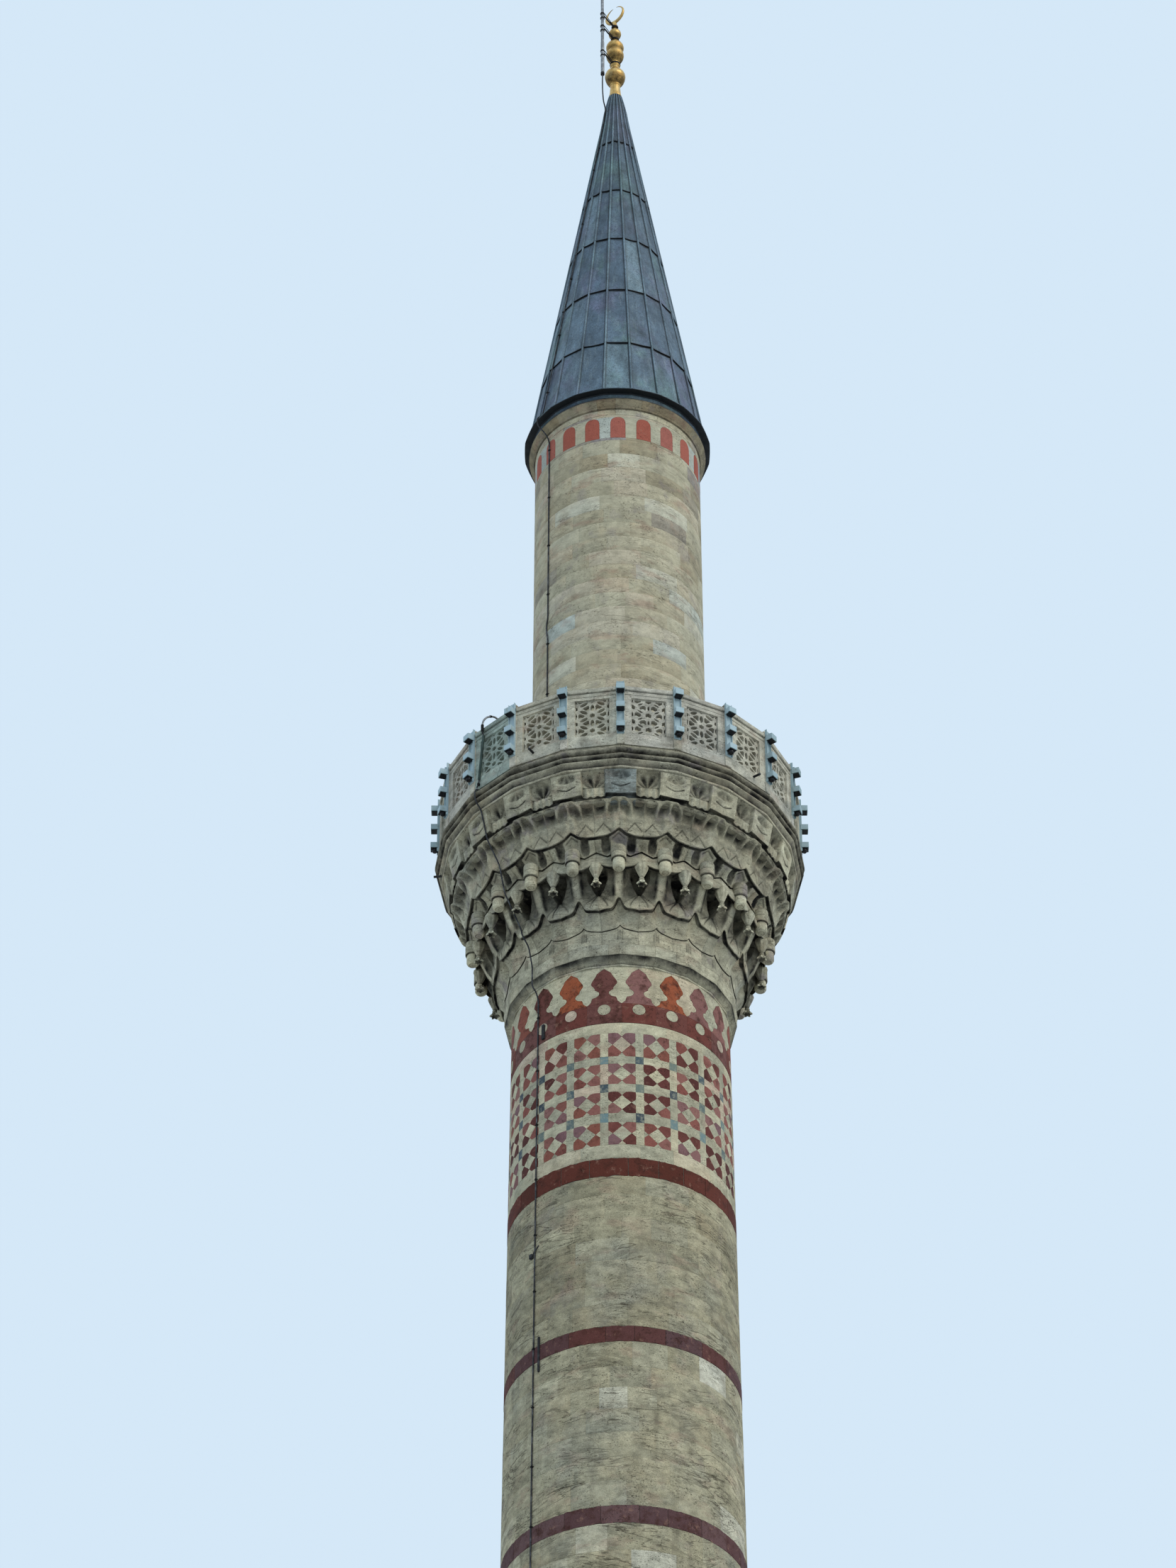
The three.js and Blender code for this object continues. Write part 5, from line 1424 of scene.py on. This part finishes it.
def rod(work, points, radius, finish=0, soot=0.0, sides=10):
    """A round bar or cable through points, closed at both ends. The radius may change on the way."""
    points = np.array(points, float)
    forward = np.gradient(points, axis=0)
    forward /= np.linalg.norm(forward, axis=1, keepdims=True)
    lean = np.array([0.0, 0.0, 1.0]) if abs(forward[0, 2]) < 0.9 else np.array([1.0, 0.0, 0.0])
    frames = []
    for way in forward:
        lean = lean - way * np.dot(lean, way)
        lean /= np.linalg.norm(lean)
        frames.append((lean, np.cross(way, lean)))
    turns = all_round(sides, math.tau)
    radii = np.broadcast_to(radius, len(points))
    rows = []
    for centre, r, (a, b) in zip(points, radii, frames):
        rows.append(centre + r * (np.cos(turns)[:, None] * a + np.sin(turns)[:, None] * b))
    work.skin(np.array(rows), 0.5, finish, soot, ring=True)
    work.cap(len(points) * sides, sides, finish, -1)
    work.cap(sides, sides, finish)


mast = Stonework()
foot = around(MAST_TURN, MAST_OUT, 0.0)


def up_mast(*heights):
    return [foot + np.array([0, 0, z]) for z in heights]


rod(mast, up_mast(34128, 34500, 34501, 34800, 34801, 35012), [14, 14, 12.5, 12.5, 12, 12], sides=16)
rod(mast, up_mast(34120, 34122, 34146, 34148), [10, 15.5, 15.5, 14], finish=1, sides=16)
for z, neck_radius in ((34370, 36), (34665, 27), (34812, 21)):
    for shift in (-26, 26):
        rod(mast, up_mast(z + shift - 7, z + shift - 6, z + shift + 6, z + shift + 7), [14, 17, 17, 14],
            finish=1, sides=16)
    rod(mast, [around(MAST_TURN, MAST_OUT - 12, z + 22.0), around(MAST_TURN, neck_radius + 4, z - 2.0)], 6,
        finish=1)
    rod(mast, [around(MAST_TURN + 5, MAST_OUT - 10, z + 30.0),
               around(MAST_TURN + 14, neck_radius + 2, z + 1.0)], 3, finish=1)
    clasp = [(-1, -9), (6, -8), (7, 0), (6, 8), (-1, 9)]
    r, up = by_column(clasp)
    mast.skin(around(all_round(24), neck_radius + r, z + up), 0.5, 1, ring=True, loop=True)
    rod(mast, [around(MAST_TURN + 180, neck_radius + out, float(z)) for out in (-2, 16)], 4, finish=1)
ball = np.linspace(0.15, math.pi - 0.15, 12)
rod(mast, up_mast(*(35038 - 23 * np.cos(ball))), 23 * np.sin(ball), finish=1, sides=16)
rod(mast, up_mast(35058, 35070, 35200, 35300), [7, 5.5, 4, 0.6], finish=1)
rod(mast, up_mast(35064, 35066, 35080, 35082), [6, 10, 10, 6], finish=1)
piece = mast.made("lightning_mast", [zinc, iron])
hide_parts("lightning_rod")

# Foot of the tower: a stepped plinth of big kerb slabs carries a square hollow base of ashlar with
# an open doorway, a cornice, and sloped corners that lead over to the round shaft.
base_stone = limestone("base_limestone", [(0.0, (0.225, 0.22, 0.165)), (0.5, (0.30, 0.29, 0.22)),
                                          (1.0, (0.40, 0.385, 0.305))])


def squared(half, turns):
    """The radius of a square of walls at each azimuth."""
    return half / np.maximum(np.abs(np.sin(np.radians(turns))), np.abs(np.cos(np.radians(turns))))


def face_stone(work, turn, height, radius, shade):
    """One facing block on a wall whose radius depends on azimuth and height, corners included."""
    (a0, a1), (z0, z1) = turn, height
    soft = 0.16
    corners = [c for c in np.arange(-315, 720, 90) if a0 + 1 < c < a1 - 1]
    inner = np.linspace(a0 + soft, a1 - soft, max(2, int((a1 - a0) / 5)) + 1)
    columns = np.unique(np.round(np.concatenate([[a0], inner, corners, [a1]]), 4))
    rows = np.concatenate([[z0], np.linspace(z0 + 4, z1 - 4, 3), [z1]])
    sunk = np.zeros((len(rows), len(columns)))
    sunk[[0, -1], :] = sunk[:, [0, -1]] = -4.5
    r = radius(columns[None, :], rows[:, None]) + sunk
    work.skin(around(columns[None, :], r, rows[:, None]), shade)


def face_courses(work, low, high, radius, rise, dice, opening_half=0.0):
    count = max(1, round((high - low) / rise))
    beds = np.linspace(low, high, count + 1)
    for z0, z1 in zip(beds, beds[1:]):
        joints = fitted_joints(360 - 2 * opening_half, 12, lambda: dice.uniform(13, 25))
        joints = joints + (opening_half or dice.uniform(0, 360))
        for a0, a1 in zip(joints, joints[1:]):
            face_stone(work, (a0, a1), (z0, z1), radius, dice.random())


def place_box(work, low, high, shade, finish=0, soft=4.0):
    points, faces = box_form(low, high, soft)
    work.place(points, faces, shade, finish)


PLINTH_STEPS, KERB = [(1500, 0, 200), (1390, 200, 400)], 260
dice = random.Random(91)
plinth = Stonework()
for half_width, low, high in PLINTH_STEPS:
    inner = half_width - KERB + 5
    place_box(plinth, (-inner, -inner, low + 1), (inner, inner, high - 2), 0.3, 1)
    for side in range(4):
        spans = np.cumsum([0] + [dice.uniform(0.8, 1.2) for _ in range(5)])
        cuts = -half_width + (2 * half_width - KERB) * spans / spans[-1]
        for a, b in zip(cuts, cuts[1:]):
            near = (a + 1.5, -half_width + dice.uniform(0, 2), low + 0.5)
            far = (b - 1.5, -half_width + KERB - 2, high - 0.5 - dice.uniform(0, 2))
            points, faces = box_form(near, far, 6)
            kerb = facing(90 * side, points[:, 0], -points[:, 1], points[:, 2])
            plinth.place(kerb, faces, dice.uniform(0.1, 0.8), 0, dice.uniform(0, 0.15))
piece = plinth.made("plinth_slabs", [base_stone, lime])
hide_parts("base_plinth")

WALL_LOW, WALL_TOP, WALL_HALF, WALL_INNER, SLOPE_WELL = 400, 4200, 1300, 850, 628
DOORWAY, LINTEL_LOW, LINTEL_TOP, LINTEL_HALF, JAMB = 225, 1400, 1640, 520, 505
quoin_half = math.degrees(math.atan(LINTEL_HALF / WALL_HALF))
walls = Stonework()


def plain_wall(turns, height):
    return squared(WALL_HALF, turns) + 0 * height


face_courses(walls, WALL_LOW, LINTEL_LOW, plain_wall, 200, dice, quoin_half)
face_courses(walls, LINTEL_LOW, LINTEL_TOP, plain_wall, 240, dice, quoin_half)
face_courses(walls, LINTEL_TOP, WALL_TOP, plain_wall, 213, dice)
beds = np.linspace(WALL_LOW, LINTEL_LOW, 6)
for z0, z1 in zip(beds, beds[1:]):
    for side in (-1, 1):
        near, far = sorted((side * DOORWAY, side * (LINTEL_HALF - 1)))
        for outside, inside in ((-WALL_HALF, -WALL_INNER - 150), (-WALL_INNER - 149, -WALL_INNER)):
            place_box(walls, (near, outside, z0 + 0.8), (far, inside, z1 - 0.8), dice.random())
lintel_low = (1 - LINTEL_HALF, -WALL_HALF, LINTEL_LOW + 0.5)
place_box(walls, lintel_low, (LINTEL_HALF - 1, -WALL_INNER, LINTEL_TOP - 1), 0.85, soft=7)
BEHIND = WALL_HALF - 5
CORES = [(-BEHIND, WALL_INNER, BEHIND, BEHIND, WALL_LOW, WALL_TOP),
         (-BEHIND, -WALL_INNER, -WALL_INNER, WALL_INNER, WALL_LOW, WALL_TOP),
         (WALL_INNER, -WALL_INNER, BEHIND, WALL_INNER, WALL_LOW, WALL_TOP),
         (-BEHIND, -BEHIND, -JAMB, -WALL_INNER, WALL_LOW, LINTEL_TOP),
         (JAMB, -BEHIND, BEHIND, -WALL_INNER, WALL_LOW, LINTEL_TOP),
         (-BEHIND, -BEHIND, BEHIND, -WALL_INNER, LINTEL_TOP, WALL_TOP)]
for x0, y0, x1, y1, low, high in CORES:
    place_box(walls, (x0, y0, low), (x1, y1, high - 0.5), 0.4, 1, soft=0)
piece = walls.made("base_wall_ashlar", [base_stone, lime])
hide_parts("base_wall_back", "base_wall_left", "base_wall_right",
            "base_jamb_left", "base_jamb_right", "base_wall_over_door")

SLOPE_LOW, SLOPE_TOP, SLOPE_HEAD = 4420, 6500, 920
slopes = Stonework()
# The third column paints the undersides and creases of the moulding darker: painted shade.
MOULD = [(WALL_HALF - 20, 4201, 0.4), (1302, 4202, 0.2), (1306, 4222, 0.1), (1318, 4245, 0.3),
         (1338, 4266, 0.5), (1352, 4274, 0.2), (1360, 4282, 0.0), (1360, 4336, 0.0), (1356, 4345, 0.3),
         (1346, 4352, 0.5), (1346, 4366, 0.2), (1340, 4376, 0.1), (1300, 4420, 0.1), (1270, 4421, 0.3)]
mould_half, mould_z, mould_soot_and_shade = by_column(MOULD)
for k in range(PANELS):
    a0, a1 = (k - 0.5) * BAY, (k + 0.5) * BAY
    corners = [c for c in (45, 135, 225, 315) if a0 < c < a1]
    turns = np.unique(np.concatenate([[a0], np.linspace(a0 + 0.15, a1 - 0.15, 7), corners, [a1]]))
    sunk = np.where((turns == a0) | (turns == a1), -4, 0)[None, :]
    grid = around(turns[None, :], squared(mould_half, turns[None, :]) + sunk, mould_z)
    slopes.skin(grid, dice.random(), 0, mould_soot_and_shade)


def sloped(turns, z):
    corner = WALL_HALF * math.sqrt(2)
    cone = corner + (SLOPE_HEAD - corner) * (z - SLOPE_LOW) / (SLOPE_TOP - SLOPE_LOW)
    return np.minimum(squared(WALL_HALF, turns), cone)


face_courses(slopes, SLOPE_LOW, SLOPE_TOP, sloped, 208, dice)
turns = all_round(72)[None, :]
levels = np.array([4202, 4202, 4420, *np.linspace(4480, 6440, 14), 6499, 6499])[:, None]
inner_line = sloped(turns, np.clip(levels, SLOPE_LOW, SLOPE_TOP)) - 7
inner_line[[0, -1]] = SLOPE_WELL
slopes.skin(around(turns, inner_line, levels), 0.4, 1, ring=True, loop=True)
piece = slopes.made("base_slope_ashlar", [base_stone, lime])
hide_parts("base_transition")

# The third column paints the undersides and creases of the foot ring darker: painted shade.
FOOT_RING = [(SLOPE_WELL, 6501, 0), (917, 6501, 0.4), (922, 6506, 0.3), (930, 6540, 0.2), (944, 6570, 0.4),
             (956, 6588, 0.2), (960, 6596, 0.0), (960, 6676, 0.0), (956, 6684, 0.2), (949, 6690, 0.5),
             (946, 6704, 0.4), (938, 6724, 0.2), (924, 6744, 0.1), (915, 6757, 0.1), (903, 6784, 0.1),
             (892, 6815, 0.2), (SLOPE_WELL, 6816, 0)]
ring_work = Stonework()
moulded_ring(ring_work, [k * 20 for k in range(18)], by_column(FOOT_RING), 0.2, 8, 3, dice.random)
piece = ring_work.made("shaft_foot_stones", [base_stone])
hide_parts("shaft_foot_ring")

# Down conductor: one cable from the lightning rod's foot to the plinth, in two lengths that meet in
# a clamp under the parapet. It is held by small saddles. A steel tube leads it over the coping and
# a green conduit covers it down the parapet. Other small ironwork of the tower is fixed near it.
SPIRE_TURN, TURRET_TURN, HOOK_TURN, PARAPET_TURN, SHAFT_TURN = -58, -55, -48.6, -50.8, -48
BASE_OUT, CABLE_RADIUS = 1762, 5.2
cable_grey = Finish("aged_cable", 0.6, 0.2)
cable_tint = cable_grey.mix((0.030, 0.030, 0.033), (0.100, 0.104, 0.110),
                            cable_grey.noise(18, 4, 0.6).between(0.45, 0.7))
cable_grey = cable_grey.done(cable_grey.mix(cable_tint, (0.004, 0.004, 0.004), cable_grey.soot),
                             cable_grey.noise(160), 0.0006)
conduit_green = Finish("green_conduit_paint", 0.5)
conduit_tint = conduit_green.mix((0.028, 0.046, 0.040), (0.060, 0.090, 0.078),
                                 conduit_green.noise(14, 4, 0.6).between(0.4, 0.7))
conduit_green = conduit_green.done(conduit_tint, conduit_green.noise(120), 0.0006)


def bent(stations, ease=30):
    """Points along straight legs, with each bend between two legs rounded off."""
    stations = [np.array(station, float) for station in stations]
    path = [stations[0]]
    for before, here, after in zip(stations, stations[1:], stations[2:]):
        legs = []
        for other in (before, after):
            length = np.linalg.norm(other - here)
            legs.append(here + (other - here) * min(ease, 0.45 * length) / length)
        path += [legs[0] * (1 - t) ** 2 + here * 2 * t * (1 - t) + legs[1] * t ** 2
                 for t in (0, 0.25, 0.5, 0.75, 1)]
    return path + [stations[-1]]


def saddles(work, azimuth, radius, low, high, spacing):
    """Small steel straps over the cable, from one side to the other."""
    reach_out = math.degrees(16 / radius(low))
    for z in np.arange(low, high, spacing):
        legs = [(-1.0, -6), (-0.5, -5), (-0.4, 6), (0.4, 6), (0.5, -5), (1.0, -6)]
        strap = [around(azimuth + share * reach_out, radius(z) + out, float(z)) for share, out in legs]
        rod(work, strap, 3.5, soot=0.9, sides=6)
        rod(work, [around(azimuth, radius(z), z - 8.0), around(azimuth, radius(z), z + 8.0)], 7.5, soot=0.9,
            sides=8)


def on_spire(z):
    return spire_radius(z) * math.cos(math.radians(BAY / 2)) / math.cos(math.radians(4)) + 9.5


def on_turret(z):
    return turret_radius(z) + 5.5


def on_shaft(z):
    return wall_radius(z) + 5.5


def on_slope(z):
    return float(sloped(SHAFT_TURN, z)) + 8.5


def on_base(z):
    return BASE_OUT


def at(azimuth, *points):
    """Stations at one azimuth, from radii and heights."""
    return [around(azimuth, r, float(z)) for r, z in points]


def clipped_to(azimuth, radius, *heights):
    """Stations on a wall, which gives the radius at each height."""
    return at(azimuth, *((radius(z), z) for z in heights))


upper = Stonework()
route = at(MAST_TURN, (MAST_OUT, 34120)) + at(-40, (157, 34050)) + at(-43, (147, 33960))
route += at(-49, (124, 33860)) + at(-55, (on_spire(33800) + 3, 33800))
route += clipped_to(SPIRE_TURN, on_spire, 33740, 33660, 33560, *reversed(LAPS), 30300, 30200, 30150)
route += at(SPIRE_TURN, (679, 30114), (697, 30092), (697, 30050), (686, 30016))
route += at(-57, (666, 29985)) + at(-56, (640, 29945)) + at(-55.3, (622, 29905))
route += clipped_to(TURRET_TURN, on_turret, 29860, 29640, 28110)
route += at(-56.2, (on_turret(28040) + 2, 28040)) + at(-56.3, (on_turret(27990) + 2, 27990))
route += clipped_to(TURRET_TURN, on_turret, 27920, 27060, 26185)
route += at(TURRET_TURN, (628, 26158), (648, 26140)) + at(-53, (900, 26139)) + at(-49, (1138, 26139))
route += at(HOOK_TURN, (1154, 26152), (1159, 26180), (1159, 26480), (1104, 26590))
hook = at(HOOK_TURN, (1082, 26680), (1082, 26742), (1102, 26784), (1130, 26802), (1160, 26802), (1192, 26786),
          (1228, 26756), (1254, 26714), (1265, 26670), (1264, 26606))
clasp = at(-48.8, (1248, 26580)) + at(PARAPET_TURN, (1251.5, 26160))
route += hook + clasp + at(PARAPET_TURN, (1264, 26134), (1264, 26112))
rod(upper, bent(route), CABLE_RADIUS)
saddles(upper, SPIRE_TURN, on_spire, 30400, 33700, 660)
saddles(upper, TURRET_TURN, on_turret, 26420, 29800, 480)
rod(upper, bent(hook, 24), 7, finish=1, sides=12)
rod(upper, at(HOOK_TURN, (1264, 26664), (1264, 26606)), 10.5, soot=1.0, sides=12)
rod(upper, at(HOOK_TURN, (1198, 26781), (1186, 26789)), 9, soot=1.0, sides=12)
ends = np.array([clasp[0] + (clasp[1] - clasp[0]) * share for share in (0.0, 0.01, 0.9, 0.91)])
rod(upper, ends, [7, 9.5, 9.5, 7], finish=2, sides=12)
rod(upper, [clasp[1] + (0, 0, 8.0), clasp[1] - (0, 0, 8.0)], 10, soot=1.0, sides=12)
piece = upper.made("upper_conductor_cable", [cable_grey, zinc, conduit_green])
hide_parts("upper_conductor")

lower = Stonework()
route = at(PARAPET_TURN, (1264, 26111.7), (1264, 26106), (1275, 26096), (1285, 26068), (1278, 26018),
           (1262, 25984))
down = [(-50.7, 1240, 25938), (-50.6, 1233, 25860), (-50.4, 1224, 25664), (-50, 1128, 25478),
        (-49.6, 1040, 25290), (-49.2, 944, 25006), (-48.9, 944, 24950), (-48.6, 884, 24880),
        (-48.3, 843, 24722), (-48.2, 836, 24652), (-48.1, 800, 24594), (-48, 764, 24562)]
route += [around(turn, *settled(r, float(z))) for turn, r, z in down]
route += clipped_to(SHAFT_TURN, on_shaft, 24500, HEAD, RED_RINGS[0][1], FOOT + 30)
route += at(SHAFT_TURN, (924, 6765), (970, 6692), (970, 6588), (934, 6502))
route += clipped_to(SHAFT_TURN, on_slope, 6440, 4680)
route += at(SHAFT_TURN, (BASE_OUT, 4600), (BASE_OUT, 4438), (1843, 4388), (1843, 4275), (BASE_OUT, 4194),
            (BASE_OUT, 400.3))
rod(lower, bent(route), CABLE_RADIUS)
saddles(lower, SHAFT_TURN, on_shaft, 7250, 24450, 450)
saddles(lower, SHAFT_TURN, lambda z: on_slope(z) - 0.5, 4800, 6400, 450)
saddles(lower, SHAFT_TURN, on_base, 700, 4100, 450)
rod(lower, at(PARAPET_TURN, (1264, 26111), (1264, 26108)), 12, finish=1, sides=12)
piece = lower.made("lower_conductor_cable", [cable_grey, zinc])
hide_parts("lower_conductor")

fixings = Stonework()
for turn, low, high, half_width, proud in ((-44.0, 24140, 24262, 12, 14), (-44.4, 21450, 21720, 8, 9),
                                           (-50.3, 22374, 22408, 13, 20)):
    points, faces = box_form((-half_width, low, -6), (half_width, high, proud), 2.5)
    fixing = facing(turn, points[:, 0], wall_radius(low) + points[:, 2], points[:, 1])
    fixings.place(fixing, faces, 0.5, 0, 0.4)
rod(fixings, [around(-50, wall_radius(22400) + 12, 22388.0),
              around(-45.5, wall_radius(22440) + 3, 22452.0)], 4, soot=0.5, sides=8)
for turn, height, inner, tip in ((-28.7, 26188, 1232, 1296), (47.5, 26188, 1232, 1296),
                                 (-88, 25966, 1236, 1288)):
    rod(fixings, at(turn, (inner, height + 4), (tip, height - 4)), 8.5, soot=0.5, sides=12)
fixings.made("wall_fixings", [cable_grey])
